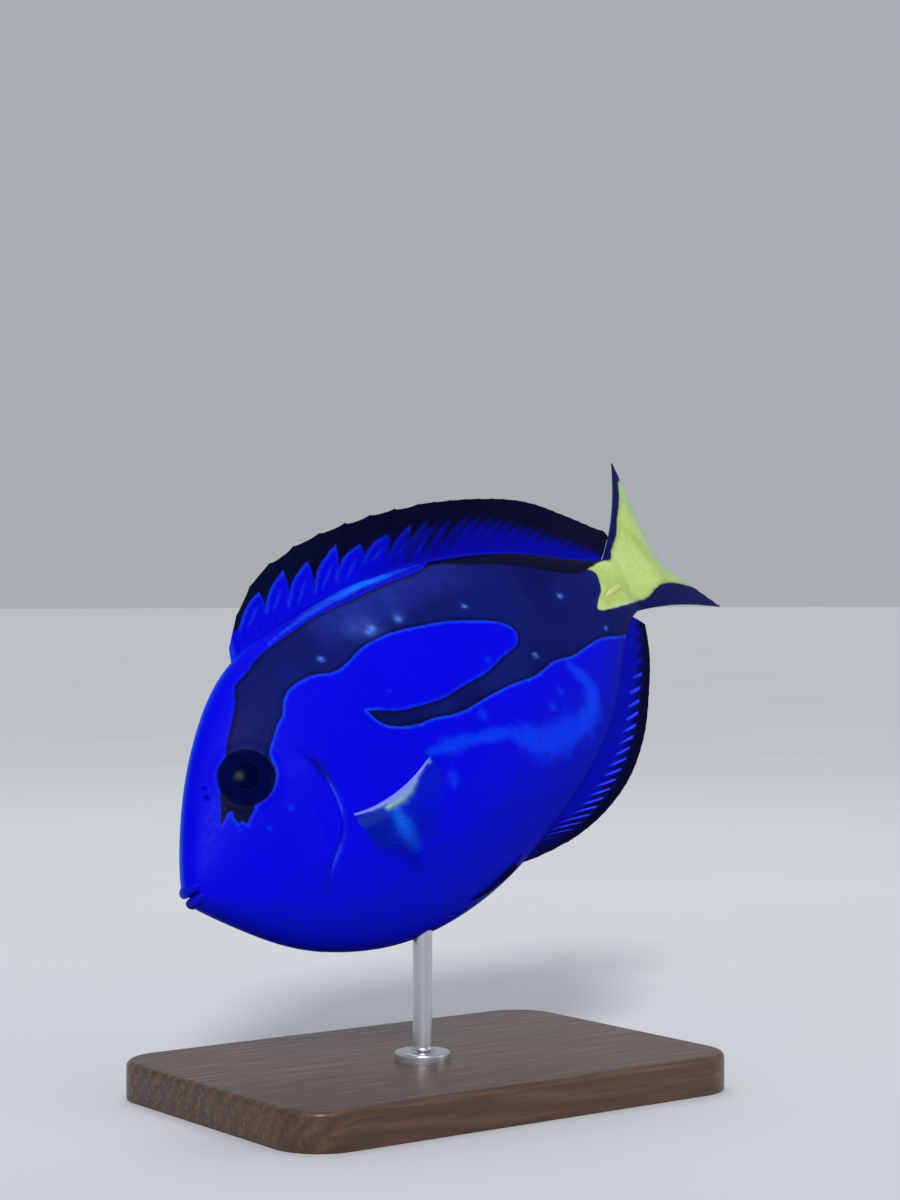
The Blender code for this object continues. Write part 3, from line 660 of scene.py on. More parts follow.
def lip_line(side):
    y = np.linspace(-LIP_WIDTH, LIP_WIDTH, LIP_STEPS + 1)
    line = np.stack([LIP_SET_BACK + LIP_CURVE * y * y, y, np.full(y.size, side * LIP_HEIGHT)], -1)
    return line, LIP_THICKNESS * np.sqrt(1.12 - (y / LIP_WIDTH) ** 2)


def eye_reach(points, side):
    """How far points are from the line that an eye looks along."""
    place, out = (np.array(v) for v in eye_frame(side))
    gap = points - place
    return np.linalg.norm(gap - (gap @ out)[:, None] * out, axis=1)


def skin_features(points):
    """How near each point is to what is finer than the body, as a level of fineness."""
    level = np.zeros(len(points), int)
    x, y, z = points.T
    for side in (-1, 1):
        here = np.sign(y) == side
        level[here & (np.abs(eye_reach(points, side) - ORBIT_RADIUS) < 0.0014)] = 1
        for nx, nz in NOSTRILS * LENGTH:
            far = np.hypot(x - nx, z - nz)
            level[here & (far < 0.0016)] = 1
            level[here & (far < 0.0011)] = 3
    far = segment_distance(points[:, [0, 2]], smooth_line(GILL_EDGE, 60) * LENGTH)[0]
    level[(far < 0.0012) & (z < (GILL_TOP + 0.01) * LENGTH)] = 1
    mouth = np.hypot(np.hypot(x - 0.001, z), y * 0.8)
    level[mouth < 0.005] = 1
    level[mouth < 0.0034] = 2
    level[(np.abs(z) < 0.0008) & (np.abs(y) < LIP_WIDTH + 0.0006) & (x < 0.0045)] = 3
    return level


def gill_relief(flat):
    """How the gill cover stands out of the flank, the painted shadow in its slit, its pale edge."""
    z = flat[:, 1]
    share = z / LENGTH
    far, side, _ = segment_distance(flat, smooth_line(GILL_EDGE, 120) * LENGTH)
    behind = far * side
    fade = step_up(-share, -GILL_TOP, 0.04 - GILL_TOP)
    fade *= 0.05 + 0.95 * step_up(share, -0.12, -0.06)
    fade *= step_up(share, -0.22, -0.17)
    cover = bell(behind, 0.006) * (1 - bell(behind, 0.0004) * 0.6)
    out = np.where(behind < 0, GILL_COVER_LIFT * cover * fade, 0)
    out -= np.where(behind >= 0, GILL_GROOVE * np.exp(-behind / 0.0007) * fade, 0)
    # Painted shadow of the gill cover in its slit, widest at the top.
    wide = 0.0004 + 0.001 * step_up(share, -0.01, 0.06)
    slit_shadow = bell(behind - 0.0002, wide) * fade * (0.35 + 0.65 * step_up(z, 0, 0.006))
    return out, slit_shadow, bell(behind - 0.0003, 0.0003) * blobs(flat, GILL_PALE)


def lip_relief(points, normals):
    """How far the skin moves out to the two rolls of the lips."""
    lips = np.zeros(len(points))
    for side in (-1, 1):
        line, radii = lip_line(side)
        far, _, along = segment_distance(points, line)
        radius = np.interp(along, np.linspace(0, 1, LIP_STEPS + 1), radii)
        centre = line[(along * LIP_STEPS).round().astype(int)]
        ahead = np.einsum("ij,ij->i", points - centre, normals)
        room = ahead**2 - (far**2 - radius**2)
        raised = np.where(room > 0, -ahead + np.sqrt(np.clip(room, 0, None)), 0)
        lips = np.maximum(lips, np.clip(np.where(far < radius, raised, 0), 0, LIP_HIGHEST))
    return lips


def skin_relief(points, normals):
    """How far each point of the skin moves out, and the masks of its creases, most of them painted shade
    in the nostrils, mouth slit, gill slit, eye sockets and blade groove.
    """
    x, y, z = points.T
    flat = points[:, [0, 2]]
    out, slit_shadow, pale = gill_relief(flat)

    far, side, along = segment_distance(flat, smooth_line(CHEEK_EDGE, 40) * LENGTH)
    ahead = far * side
    cheek = np.where(ahead < 0, np.exp(ahead / 0.004), bell(ahead, 0.0007))
    out += CHEEK_LIFT * cheek * np.sin(math.pi * along) ** 0.7

    # Painted shade in the nostrils' pits and, below, in the slit of the mouth.
    crease_shade = np.zeros(len(points))
    for nx, nz in NOSTRILS * LENGTH:
        far = np.hypot(x - nx, z - nz) / NOSTRIL_RADIUS
        out += NOSTRIL_RIM * bell(far - 1.25, 0.4)
        out -= NOSTRIL_DEPTH * np.exp(-((far / 0.75) ** 4))
        crease_shade = np.maximum(crease_shade, 0.4 * np.exp(-((far / 0.9) ** 4)))

    # Painted shade where the skin dives into each eye socket.
    socket_shade = np.zeros(len(points))
    for eye_side in (-1, 1):
        reach = eye_reach(points, eye_side)
        here = np.sign(y) == eye_side
        rim = ORBIT_RIM * bell(reach - ORBIT_RADIUS - 0.0007, 0.0011)
        socket = -ORBIT_DEPTH * step_up(-reach, -ORBIT_RADIUS, -ORBIT_RADIUS + 0.0011)
        out += np.where(here, rim + socket, 0)
        dark = step_up(-reach, -ORBIT_RADIUS - 0.0005, -ORBIT_RADIUS + 0.0002)
        socket_shade = np.maximum(socket_shade, here * dark)

    lips = lip_relief(points, normals)
    out += lips
    wide = step_up(-np.abs(y), -LIP_WIDTH - 0.0004, -LIP_WIDTH + 0.0006) * (x < 0.006)
    out -= MOUTH_DEPTH * bell(z, 0.00022) * wide
    crease_shade = np.maximum(crease_shade, bell(z, 0.00035) * wide)

    start, level = (share * LENGTH for share in BLADE_START)
    line = np.array([(start - 0.001, level), (start + BLADE_LENGTH, level)])
    # The groove's mask sinks the skin and also paints shade into the groove.
    groove = bell(segment_distance(flat, line)[0], 0.0013)
    out -= BLADE_GROOVE * groove
    values = {"crease_shade": crease_shade, "gill_shadow": slit_shadow, "pale": pale, "groove": groove, "socket_shade": socket_shade}
    return out, values | {"lips": np.clip(lips / 0.0004, 0, 1)}


def yellow_distance(flat):
    lines = ((YELLOW_FRONT, 50), (YELLOW_LOW, 30), (YELLOW_HIGH, 40))
    return region(flat, [(smooth_line(line, count), 1) for line, count in lines])[0]


def markings(flat):
    """Signed distances and masks of the flank's markings and of its painted highlights, in metres."""
    sections = [
        (smooth_line(BAND_OUTER, 50), 0.12),
        (BAND_REAR, 0),
        (smooth_line(BAND_LOWER, 60), 1),
        (smooth_line(BAND_TONGUE, 36), 0.35),
        (smooth_line(BAND_OVAL, 100), 0.9),
        (BAND_PRONGS, 0.6),
    ]
    band, rim = region(flat, sections)
    corner = np.array([(1.1, 0.09), (1.1, 0.4), (0.6, 0.4)])
    return {
        "band": band,
        "rim": rim,
        "yellow": yellow_distance(flat),
        # Painted highlight on the root of the tail.
        "tail_root_highlight": blobs(flat, TAIL_ROOT_HIGHLIGHT, 0.8),
        "ridge": region(flat, [(smooth_line(RIDGE_EDGE, 30), 1), (corner, 1)])[0],
        "fleck": blobs(flat, FLECKS, 1.5),
        "haze": blobs(flat, HAZE),
        # Painted highlight along the root of the dorsal fin.
        "streak": streak(flat, FIN_BASE_HIGHLIGHT),
        "cloud": np.maximum(streak(flat, CLOUDS), 0.7 * blobs(flat, CLOUD_SPOTS)),
    }


def make_skin(material):
    """One skin over head, trunk and tail stalk, finer round eyes, mouth and gills."""
    columns, rows = SKIN_RINGS + 1, SKIN_SIDES + 1
    u, v = np.meshgrid(np.linspace(0, 1, columns), np.linspace(0, 1, rows), indexing="ij")
    flat = np.stack([u.ravel(), v.ravel(), np.zeros(u.size)], -1)
    mesh = raw_mesh("skin", flat, grid_faces(columns, rows).tolist())
    shape = bmesh.new()
    shape.from_mesh(mesh)

    def on_body():
        spots = np.array([v.co for v in shape.verts])
        return body_surface(spots[:, 0] ** 1.5, math.pi / 2 - 2 * math.pi * spots[:, 1])

    for level in (1, 2, 3):
        shape.verts.index_update()
        fine = skin_features(on_body()) >= level
        edges = [e for e in shape.edges if fine[e.verts[0].index] and fine[e.verts[1].index]]
        bmesh.ops.subdivide_edges(shape, edges=edges, cuts=1, use_grid_fill=True)
    for vertex, place in zip(shape.verts, on_body()):
        vertex.co = place
    bmesh.ops.remove_doubles(shape, verts=shape.verts[:], dist=0.000002)
    rim = [e for e in shape.edges if e.is_boundary]
    bmesh.ops.holes_fill(shape, edges=rim, sides=0)
    bmesh.ops.triangulate(shape, faces=[f for f in shape.faces if len(f.verts) > 4])
    bmesh.ops.recalc_face_normals(shape, faces=shape.faces[:])
    shape.to_mesh(mesh)
    shape.free()
    points = mesh_points(mesh)
    normals = np.zeros(points.size)
    mesh.vertex_normals.foreach_get("vector", normals)
    normals = normals.reshape(-1, 3)
    x, y, z = points.T
    out, creases = skin_relief(points, normals)
    values = markings(points[:, [0, 2]]) | creases
    back, belly, *_ = body_at(x / LENGTH)
    values["height"] = (z / LENGTH - belly) / np.maximum(back - belly, 0.01)
    values["along"] = x / LENGTH
    # Mask of a painted rim light along the top edge of the head.
    values["nape"] = bell(y, 0.0009) * (z > 0)
    values["straight"] = points * 1000
    move_points(mesh, stand_up(points + normals * out[:, None]))
    set_values(mesh, values)
    return new_object("skin", mesh, material)


def gold_colour(paint, place, *coats):
    """Olive to lemon yellow in soft patches, with a painted highlight at the tail's root, then coats."""
    broad = paint.noise(place, 0.11, 3, 0.55)
    fine = paint.noise(place, 0.6, 4, 0.6)
    return paint.layers(
        paint.mix(broad.rise(0.32, 0.62), OLIVE, YELLOW),
        # Painted highlight on the tail's root.
        (paint.value("tail_root_highlight") * 0.9, YELLOW_HIGHLIGHT),
        (fine.rise(0.35, 0.7, 0, 0.35), (0.42, 0.55, 0.16)),
        *coats,
    )


def skin_material():
    skin = Paint("tang_skin", specular_ior_level=0.04)
    place = skin.straight()
    broad = skin.noise(place, 0.05)
    patchy = skin.noise(place, 0.22, 5, 0.62)
    fine = skin.noise(place, 0.9, 4, 0.6)
    ragged = (fine - 0.5) * 0.0006
    band, yellow, ridge = (skin.value(name) + ragged for name in ("band", "yellow", "ridge"))
    along, height = skin.value("along"), skin.value("height")

    cloud = patchy * 1.2 - 0.6 + skin.value("cloud")
    # Painted highlight along the root of the dorsal fin, broken up by stretched noise, within the stretch
    # that shine marks out.
    brush = skin.noise(place, 1.5, 3, 0.6, (0.1, 1, 1))
    streak = (brush - 0.5) * 1.2 + skin.value("streak")
    shine = along.rise(0.45, 0.52, 0.35, 1) * along.rise(0.61, 0.53, 0.3, 1)
    rim = band.rise(-0.001, -0.0003) * skin.value("rim") * fine.rise(0.25, 0.6, 0.35, 0.85)
    blue = skin.layers(
        skin.mix(broad.rise(0.35, 0.65, 0, 0.3), BLUE, BLUE_DEEP),
        # Darker towards the belly: partly the fish's own tone, partly painted shade of the underside.
        ((patchy * 0.25 + height).rise(0.55, 0.12) * 0.85, BELLY_TONE_AND_SHADE),
        (cloud.rise(0.15, 1.05) * fine.rise(0.3, 0.6, 0.75, 0.95), CLOUD_BLUE),
        # Painted rim light along the top edge of the head.
        (skin.value("nape") * along.rise(0.34, 0.24) * 0.8, NAPE_RIM_LIGHT),
        # Painted shade on the top of the back, under the dorsal fin.
        (height.rise(0.9, 0.95) * along.rise(0.3, 0.42) * 0.6, BACK_SHADE_BLUE),
        # Painted highlight along the dorsal fin's root.
        (streak.rise(0.15, 0.95) * shine, FIN_BASE_HIGHLIGHT_BLUE),
        (rim, AZURE),
        # Painted shadow in the gill slit.
        (skin.value("gill_shadow") * 0.75, GILL_SHADOW),
        (skin.value("pale") * 0.65, GILL_BRIGHT),
    )

    # Painted sheen on the top of the dark band, along the back.
    light = along.rise(0.35, 0.45) * along.rise(0.76, 0.54) * height.rise(0.8, 0.9)
    dark = skin.layers(
        skin.mix(broad.rise(0.35, 0.65), BAND, BAND_DEEP),
        (light * patchy.rise(0.3, 0.65, 0.55, 0.85), BAND_TOP_SHEEN),
        (along.rise(0.26, 0.19, 0, 0.6), BAND_DEEP),
        (skin.value("haze") * patchy.rise(0.35, 0.6, 0.3, 0.5), HAZE_BLUE),
        (along.rise(0.18, 0.15, 0, 0.8), BLACK),
        (ridge.rise(-0.0004, 0.0006), BLACK),
        (band.rise(0.0012, 0, 0, 0.8), BLACK),
    )
    gold = gold_colour(
        skin,
        place,
        # Painted shade in the blade's groove.
        (skin.value("groove") * 0.4, OLIVE),
        (yellow.rise(0.002, 0.0004) * broad.rise(0.3, 0.6) * 0.7, YELLOW_GREY),
        (yellow.rise(0.0004, 0, 0, 0.7), YELLOW_EDGE),
    )
    colour = skin.layers(
        skin.mix(band.rise(-0.00015, 0.00015), blue, dark),
        (skin.value("fleck"), FLECK),
        (yellow.rise(-0.0002, 0.0002), gold),
        # Painted shade in the eye sockets.
        (skin.value("socket_shade"), ORBIT_SHADE),
        # Painted shade in the nostrils and the mouth's slit.
        (skin.value("crease_shade") * 0.85, BLACK),
        (skin.value("lips") * 0.45, LIP_BLUE),
    )
    scales = skin.add("TexVoronoi", {"Vector": place, "Scale": 2.6}, "Distance", feature="F1")
    normal = skin.bump(fine, 0.00012, 0.25, skin.bump(scales, 0.00007, 0.3))
    return skin.done(base_color=colour, normal=normal, roughness=fine.rise(0.3, 0.7, 0.4, 0.52))


# Fins


def ray_places(rays, spines):
    pitch = [SPINE_SPACING if i < spines else 1 for i in range(rays - 1)]
    return np.concatenate([[0], np.cumsum(pitch)]) / sum(pitch)


def fin_grid(base, margin, leads, rays, spines, notch, rows, seed, rake=0, fan=1):
    """Spots of a fin in its own plane, with the relief of its rays and its places.

    The rake carries the rays' ends back along the margin, and keeps its two ends.
    A fan above 1 crowds the rays' roots towards the front.
    """
    rng = np.random.default_rng(seed)
    places = ray_places(rays, spines)
    depth = np.where(np.arange(rays - 1) < spines, notch, notch / 3)
    depth = depth * rng.uniform(0.6, 1.4, rays - 1)
    turn = np.linspace(0, 1, FIN_COLUMNS, endpoint=False)
    phi = np.append(np.tile(turn, rays - 1), 1)
    index = np.append(np.repeat(np.arange(rays - 1), FIN_COLUMNS), rays - 2)
    s = places[index] + phi * (places[index + 1] - places[index])
    share = np.linspace(0, 1, rows + 1)
    cut = depth[index] * (1 - np.abs(2 * phi - 1) ** 3)
    t = share[None, :] * (1 - cut[:, None])
    first, last = (np.array(lead, float) / np.linalg.norm(lead) for lead in leads)
    lead = (1 - s)[:, None] * first + s[:, None] * last
    lead /= np.linalg.norm(lead, axis=1)[:, None]
    root, tip = base(s**fan), margin(s + rake * s * (1 - s))
    middle = root + lead * 0.5 * np.linalg.norm(tip - root, axis=1)[:, None]
    t3 = t[..., None]
    spots = (1 - t3) ** 2 * root[:, None] + 2 * t3 * (1 - t3) * middle[:, None]
    spots = spots + t3**2 * tip[:, None]
    soft = np.where(index < spines, 0, 1)[:, None]
    split = 0.24 * soft * step_up(share, 0.35, 1)[None, :]
    cross = phi[:, None]
    near = np.minimum(np.abs(cross - split), np.abs(cross - 1 + split))
    width = 0.08 - 0.01 * soft
    ray = bell(near, width) * (0.55 + 0.45 * soft)
    joints = 1 - 0.04 * soft * (0.5 + 0.5 * np.cos(2 * math.pi * share * 26))[None, :]
    comb = np.broadcast_to(0.5 + 0.5 * np.cos(2 * math.pi * phi)[:, None], t.shape)
    return spots, np.broadcast_to(s[:, None], t.shape), t, ray * joints, comb


def fin_object(name, kind, base, margin, place, values_of, material):
    """A fin with both its faces, where the placing function puts its spots."""
    numbers, leads, (on_rays, between, at_root) = FINS[kind]
    spots, s, t, ray, comb = fin_grid(base, path(margin), leads, *numbers)
    raised = ray * step_up(t, 0, 0.25) * (1 - t) ** 0.6
    half = between + (on_rays - between) * raised
    half = np.maximum(half, at_root * (1 - 5 * t) * (1 - np.abs(2 * s - 1) ** 4))
    points = np.vstack([place(spots, side * half, s, t).reshape(-1, 3) for side in (-1, 1)])
    sheet = grid_faces(*t.shape)
    index = np.arange(t.size).reshape(t.shape)
    rim = np.concatenate([index[:, 0], index[-1, 1:], index[-2::-1, -1], index[0, -2:0:-1]])
    after = np.roll(rim, -1)
    joined = np.stack([rim, rim + t.size, after + t.size, after], -1)
    mesh = raw_mesh(name, points, np.vstack([sheet, sheet[:, ::-1] + t.size, joined]).tolist())
    face_outward(mesh)
    named = {"s": s, "t": t, "ray": ray, "comb": comb}
    values = {key: np.tile(value.ravel(), 2) for key, value in named.items()}
    values["straight"] = points * 1000
    values |= values_of(points[:, [0, 2]], np.tile(spots.reshape(-1, 2), (2, 1)))
    set_values(mesh, values)
    move_points(mesh, stand_up(points))
    return new_object(name, mesh, material)


def in_midplane(wave):
    """Places a fin of the middle plane, with a gentle wave growing to its margin."""

    def place(spots, across, s, t):
        sway = wave * t * np.sin(2 * math.pi * (1.4 * s + 0.1))
        return np.stack([spots[..., 0] * LENGTH, across + sway, spots[..., 1] * LENGTH], -1)

    return place


def in_side_plane(origin, along, up, side, cup):
    """Places a paired fin: its plane stands at origin, along and up, and it cups."""
    along = Vector(along).normalized()
    up = Vector(up)
    up = (up - up.dot(along) * along).normalized()
    out = np.array(along.cross(up))
    along, up = np.array(along), np.array(up)

    def place(spots, across, s, t):
        a, b = spots[..., :1], spots[..., 1:]
        points = np.array(origin) + along * a + up * b + out * (cup * a * a)
        points = points * LENGTH + out * across[..., None]
        return points * np.array([1, -side, 1])

    return place


def tongue_sections():
    """The blue of the dorsal fin: a row of tongues, then an even edge to the rear."""
    sections = [(np.array([(0.2, 0.1), (0.2, 0.3), (0.3, 0.306), (0.302, 0.296)]), 0)]
    for k, row in enumerate(TONGUES):
        low, front, tip = row.reshape(3, 2)
        sections.append((smooth_line([low, front, tip], 9), 1 - 0.07 * k))
        if k + 1 < len(TONGUES):
            after = TONGUES[k + 1][:2]
            bow = tip * 0.5 + after * 0.5 + np.array([0.003, 0])
            sections.append((smooth_line([tip, bow, after], 7)[1:-1], 0.12))
    rear = np.vstack([smooth_line(DORSAL_BLUE_REAR, 24), [(1, 0.06), (0.6, 0.1)]])
    return sections + [(rear, 0)]


def above_edge(flat, edge):
    """How far points lie above the back (0) or the belly (1)."""
    return flat[:, 1] - body_at(flat[:, 0] / LENGTH)[edge] * LENGTH


def dorsal_values(flat, spots):
    blue, rim = region(flat, tongue_sections())
    # Painted highlight along a fold near the front edge of each of the first eight tongues.
    fold_highlight = np.zeros(len(flat))
    for row in TONGUES[:8]:
        low, front, tip = row.reshape(3, 2)
        line = np.array([low + (0.013, -0.004), (front + tip) / 2 + (0.002, -0.013)])
        far, _, along = segment_distance(flat, line * LENGTH)
        fold_highlight = np.maximum(fold_highlight, bell(far, 0.0003) * np.sin(math.pi * along) ** 0.5)
    return {"blue": blue, "rim": rim, "fold_highlight": fold_highlight, "rise": above_edge(flat, 0)}


def anal_values(flat, spots):
    edge = np.vstack([smooth_line(ANAL_BLUE, 50), [(0.4, -0.1), (0.95, 0.02)]])
    return {"blue": region(flat, [(edge, 1)])[0]}


def tail_values(flat, spots):
    # The yellow, and the painted highlight on the tail's root.
    return {"yellow": yellow_distance(flat), "tail_root_highlight": blobs(flat, TAIL_ROOT_HIGHLIGHT, 0.8)}


def pectoral_values(flat, spots):
    """Soft masks of the pectoral fin's colours, in its own plane."""
    return {name: streak(spots * LENGTH, line) for name, line in PECTORAL_MARKS.items()}


def pelvic_values(flat, spots):
    none = np.zeros(len(flat))
    return {"blue": above_edge(flat, 1) - 0.0022, "rim": none, "fold_highlight": none, "rise": none + 0.01}


def fin_bump(fin, place):
    return fin.bump(fin.noise(place, 3, 3, 0.6), 0.0001, 0.5)


def ragged_edge(fin, name, place):
    """A distance to an outline, made a little uneven."""
    fine = fin.noise(place, 0.7)
    return fin.value(name) + (fine - 0.5) * 0.0008, fine


def blue_fin_material():
    """Blue towards the body, black beyond, azure where they meet and on the rays: painted highlights along
    folds of the front tongues, and the front ray.
    """
    fin = Paint("blue_fin", roughness=0.48, specular_ior_level=0.03)
    place = fin.straight()
    blue, fine = ragged_edge(fin, "blue", place)
    ray, comb, along, above = (fin.value(name) for name in ("ray", "comb", "s", "rise"))
    rear = along.rise(0.28, 0.56)
    blue += (comb - 0.55) * 0.0016 * along.rise(0.55, 0.8, 1, 0.3) * rear
    furrow = comb.rise(0.55, 0.1) * rear * above.rise(0.002, 0.006)
    inner = fin.layers(
        fin.mix(fine.rise(0.3, 0.7, 0.4, 0.9), BLUE, BLUE_DEEP),
        (blue.rise(0.0011, 0.0002) * fin.value("rim") * 0.55, AZURE),
        # Painted highlight along the tongues' folds.
        (fin.value("fold_highlight") * 0.45, AZURE),
        (rear * 0.8, (0.0004, 0.001, 0.23)),
        (furrow * 0.42, (0.0004, 0.0008, 0.06)),
        (above.rise(0.0011, 0.0002) * along.rise(0.35, 0.6, 0.1, 0.55), (0.003, 0.01, 0.52)),
        (along.rise(0.02, 0.004, 0, 0.6), AZURE),
    )
    outer = fin.layers(
        fin.mix(ray.rise(0.3, 0.9), BLACK, (0.001, 0.0016, 0.024)),
        (along.rise(0.3, 0.05, 0, 0.6), (0.0006, 0.0032, 0.026)),
    )
    sharp = (blue + rear * 0.0006).rise(-0.0002, 0.0002)
    factor = fin.add("Mix", {0: rear, 2: sharp, 3: blue.rise(-0.0018, 0.0034)})
    return fin.done(base_color=fin.mix(factor, outer, inner), normal=fin_bump(fin, place))


def anal_fin_material():
    """Blue with azure streaks along the rays, and a black margin."""
    fin = Paint("anal_blue_fin", roughness=0.48, specular_ior_level=0.03)
    place = fin.straight()
    blue, fine = ragged_edge(fin, "blue", place)
    comb, along = fin.value("comb"), fin.value("s")
    gaps = blue + comb * 0.0014 - along.rise(0.62, 0.3) * 0.0012
    stripe = blue.rise(0.0072, 0.0022) * blue.rise(0.0001, 0.001)
    stripe *= along.rise(0.1, 0.34, 0.55, 1) * along.rise(0.92, 0.8, 0.6, 1)
    stripe *= comb * fin.noise(place, 0.35, 2).rise(0.3, 0.62, 0.88, 1)
    inner = fin.layers(
        fin.mix(fine, (0.0004, 0.0028, 0.4), (0.0004, 0.0016, 0.28)),
        (gaps.rise(0.004, 0.0012, 0, 0.85), BLACK),
        (stripe.rise(0.6, 0.98), (0.03, 0.05, 1)),
    )
    colour = fin.mix(blue.rise(-0.0002, 0.0008), BLACK, inner)
    return fin.done(base_color=colour, normal=fin_bump(fin, place))


def tail_material():
    """Olive to lemon yellow with black along its upper and lower edges."""
    fin = Paint("tail_yellow", roughness=0.45, specular_ior_level=0.04)
    place = fin.straight()
    yellow, _ = ragged_edge(fin, "yellow", place)
    ray, out = fin.value("ray"), fin.value("t")
    gold = gold_colour(
        fin,
        place,
        (ray.rise(0, 1, 0, 0.14) * out.rise(0.15, 0.55), (0.3, 0.4, 0.07)),
        (out.rise(0.72, 1) * 0.6, (0.28, 0.46, 0.36)),
        (yellow.rise(0.0016, 0, 0, 0.5), (0.3, 0.34, 0.12)),
    )
    dark = fin.mix(ray.rise(0.2, 0.9), (0.0006, 0.003, 0.07), (0.001, 0.005, 0.105))
    colour = fin.mix(yellow.rise(-0.0003, 0.0004), dark, gold)
    return fin.done(base_color=colour, normal=fin_bump(fin, place))


def pectoral_material():
    """A clear blue membrane with white front rays and a yellow patch behind them."""
    fin = Paint("pectoral_clear", roughness=0.45, specular_ior_level=0.04)
    place = fin.straight()
    ray, along, out = fin.value("ray"), fin.value("s"), fin.value("t")
    fine = fin.noise(place, 0.8)
    colour = fin.mix(ray, (0.0006, 0.012, 0.4), (0.002, 0.04, 0.62))
    solid = (ray * 0.14 + 0.18) * out.rise(1, 0.45, 0.25, 1)
    solid *= along.rise(1, 0.6, 0.1, 1) * out.rise(0, 0.3, 0.3, 1)
    fading = out.rise(0, 0.45) * along.rise(0.97, 0.62)
    marks = (
        ("blade", (0.0004, 0.012, 0.5), fading * 0.35, 1),
        ("teal", (0.0004, 0.012, 0.4), fading * 0.5, 1),
        ("grey", (0.02, 0.06, 0.52), 0.65, 1),
        ("azure", (0.005, 0.13, 0.9), along.rise(0.9, 0.4, 0.2, 1), 1.25),
        ("gold", (0.28, 0.55, 0.46), 0.95, 1),
        ("white", (0.26, 0.3, 0.95), 1, 1),
        ("spot", (0.12, 0.26, 0.95), 1, 1),
    )
    for name, tint, strength, full in marks:
        mark = (fine * 0.3 + fin.value(name) - 0.15).rise(0.05, full) * strength
        colour = fin.mix(mark, colour, tint)
        solid = solid.calc("MAXIMUM", mark)
    return fin.done(base_color=colour, alpha=solid, normal=fin_bump(fin, place))


def root_line(reach, count, edge, shift):
    """The root of a fin of the middle plane, along the back (0) or the belly (1)."""
    x = np.linspace(*reach, count)
    return path(np.stack([x, body_at(x)[edge] + shift], -1))


def make_fins():
    """Every fin, each with the node that it stands for."""
    x, z = TAIL_ROOT
    tail_root = path([(x, z + TAIL_ROOT_HALF * k) for k in (1, 0.5, 0, -0.5, -1)])
    dorsal_root = root_line(DORSAL_BASE, 9, 0, -ROOT_SINK)
    anal_root = root_line(ANAL_BASE, 8, 1, ANAL_SINK)
    wavy, plain = in_midplane(DORSAL_WAVE), in_midplane(0)
    middle = (
        ("dorsal", dorsal_root, DORSAL_MARGIN, wavy, dorsal_values, blue_fin_material()),
        ("anal", anal_root, ANAL_MARGIN, plain, anal_values, anal_fin_material()),
        ("tail", tail_root, TAIL_MARGIN, plain, tail_values, tail_material()),
    )
    made = {fin_object(f"{kind}_fin_skin", kind, *rest): f"{kind}_fin" for kind, *rest in middle}
    clear, blue = pectoral_material(), blue_fin_material()
    x, z = PECTORAL_PLACE
    origin = (x, PAIRED_SINK - float(flank(x, z)), z)
    pectoral_root, pelvic_root = path(PECTORAL_BASE), path(PELVIC_BASE)
    for name, side in (("left", -1), ("right", 1)):
        out = in_side_plane(origin, PECTORAL_ALONG, PECTORAL_UP, side, PECTORAL_CUP)
        low = in_side_plane(PELVIC_PLACE, PELVIC_ALONG, PELVIC_UP, side, 0)
        pair = (
            ("pectoral", pectoral_root, PECTORAL_MARGIN, out, pectoral_values, clear),
            ("pelvic", pelvic_root, PELVIC_MARGIN, low, pelvic_values, blue),
        )
        for kind, *rest in pair:
            made[fin_object(f"{name}_{kind}_skin", kind, *rest)] = f"{name}_{kind}_fin"
    return made


# Eyes and blades


def eye_material():
    coat = {"coat_weight": 0.03, "coat_roughness": 0.16}
    eye = Paint("eye_gloss", roughness=0.4, specular_ior_level=0, **coat)
    radius = eye.value("radius")
    spokes = eye.add("CombineXYZ", {0: eye.value("turn") * 14, 1: radius})
    ring = radius.rise(0.44, 0.47) * radius.rise(0.52, 0.48)
    colour = eye.layers(
        eye.mix(eye.noise(spokes, 4), (0.0003, 0.0012, 0.036), (0.0006, 0.0022, 0.052)),
        (ring * 0.35, (0.002, 0.006, 0.08)),
        (radius.rise(0.455, 0.44), (0.0002, 0.0008, 0.026)),
        (radius.rise(0.78, 0.9), (0.0012, 0.003, 0.045)),
    )
    return eye.done(base_color=colour)


def make_eyes():
    """Two domed eyes, each with a pupil, a fine ring and a dark iris."""
    material = eye_material()
    size = np.array([EYE_RADIUS, EYE_RADIUS, EYE_DEPTH])
    made = {}
    for name, side in (("left_eye", -1), ("right_eye", 1)):
        place, out = eye_frame(side)
        shape = bmesh.new()
        bmesh.ops.create_uvsphere(shape, u_segments=96, v_segments=64, radius=1.0)
        mesh = new_mesh(name + "_ball", shape)
        points = mesh_points(mesh)
        x, y, _ = points.T
        turned = np.array(out.to_track_quat("Z", "Y").to_matrix())
        centre = np.array(place + out * (EYE_PROUD - EYE_DEPTH))
        move_points(mesh, stand_up((points * size) @ turned.T + centre))
        set_values(mesh, {"radius": np.hypot(x, y), "turn": np.abs(np.arctan2(y, x))})
        made[new_object(name + "_ball", mesh, material)] = name
    return made


def blade_material():
    blade = Paint("blade_horn", roughness=0.35, specular_ior_level=0.2)
    grain = blade.noise(blade.object_place(), 1500)
    colour = blade.mix(grain, (0.44, 0.53, 0.14), (0.52, 0.62, 0.2))
    tip = blade.value("tip").rise(0.4, 1)
    return blade.done(base_color=blade.mix(tip, colour, (0.55, 0.66, 0.25)))


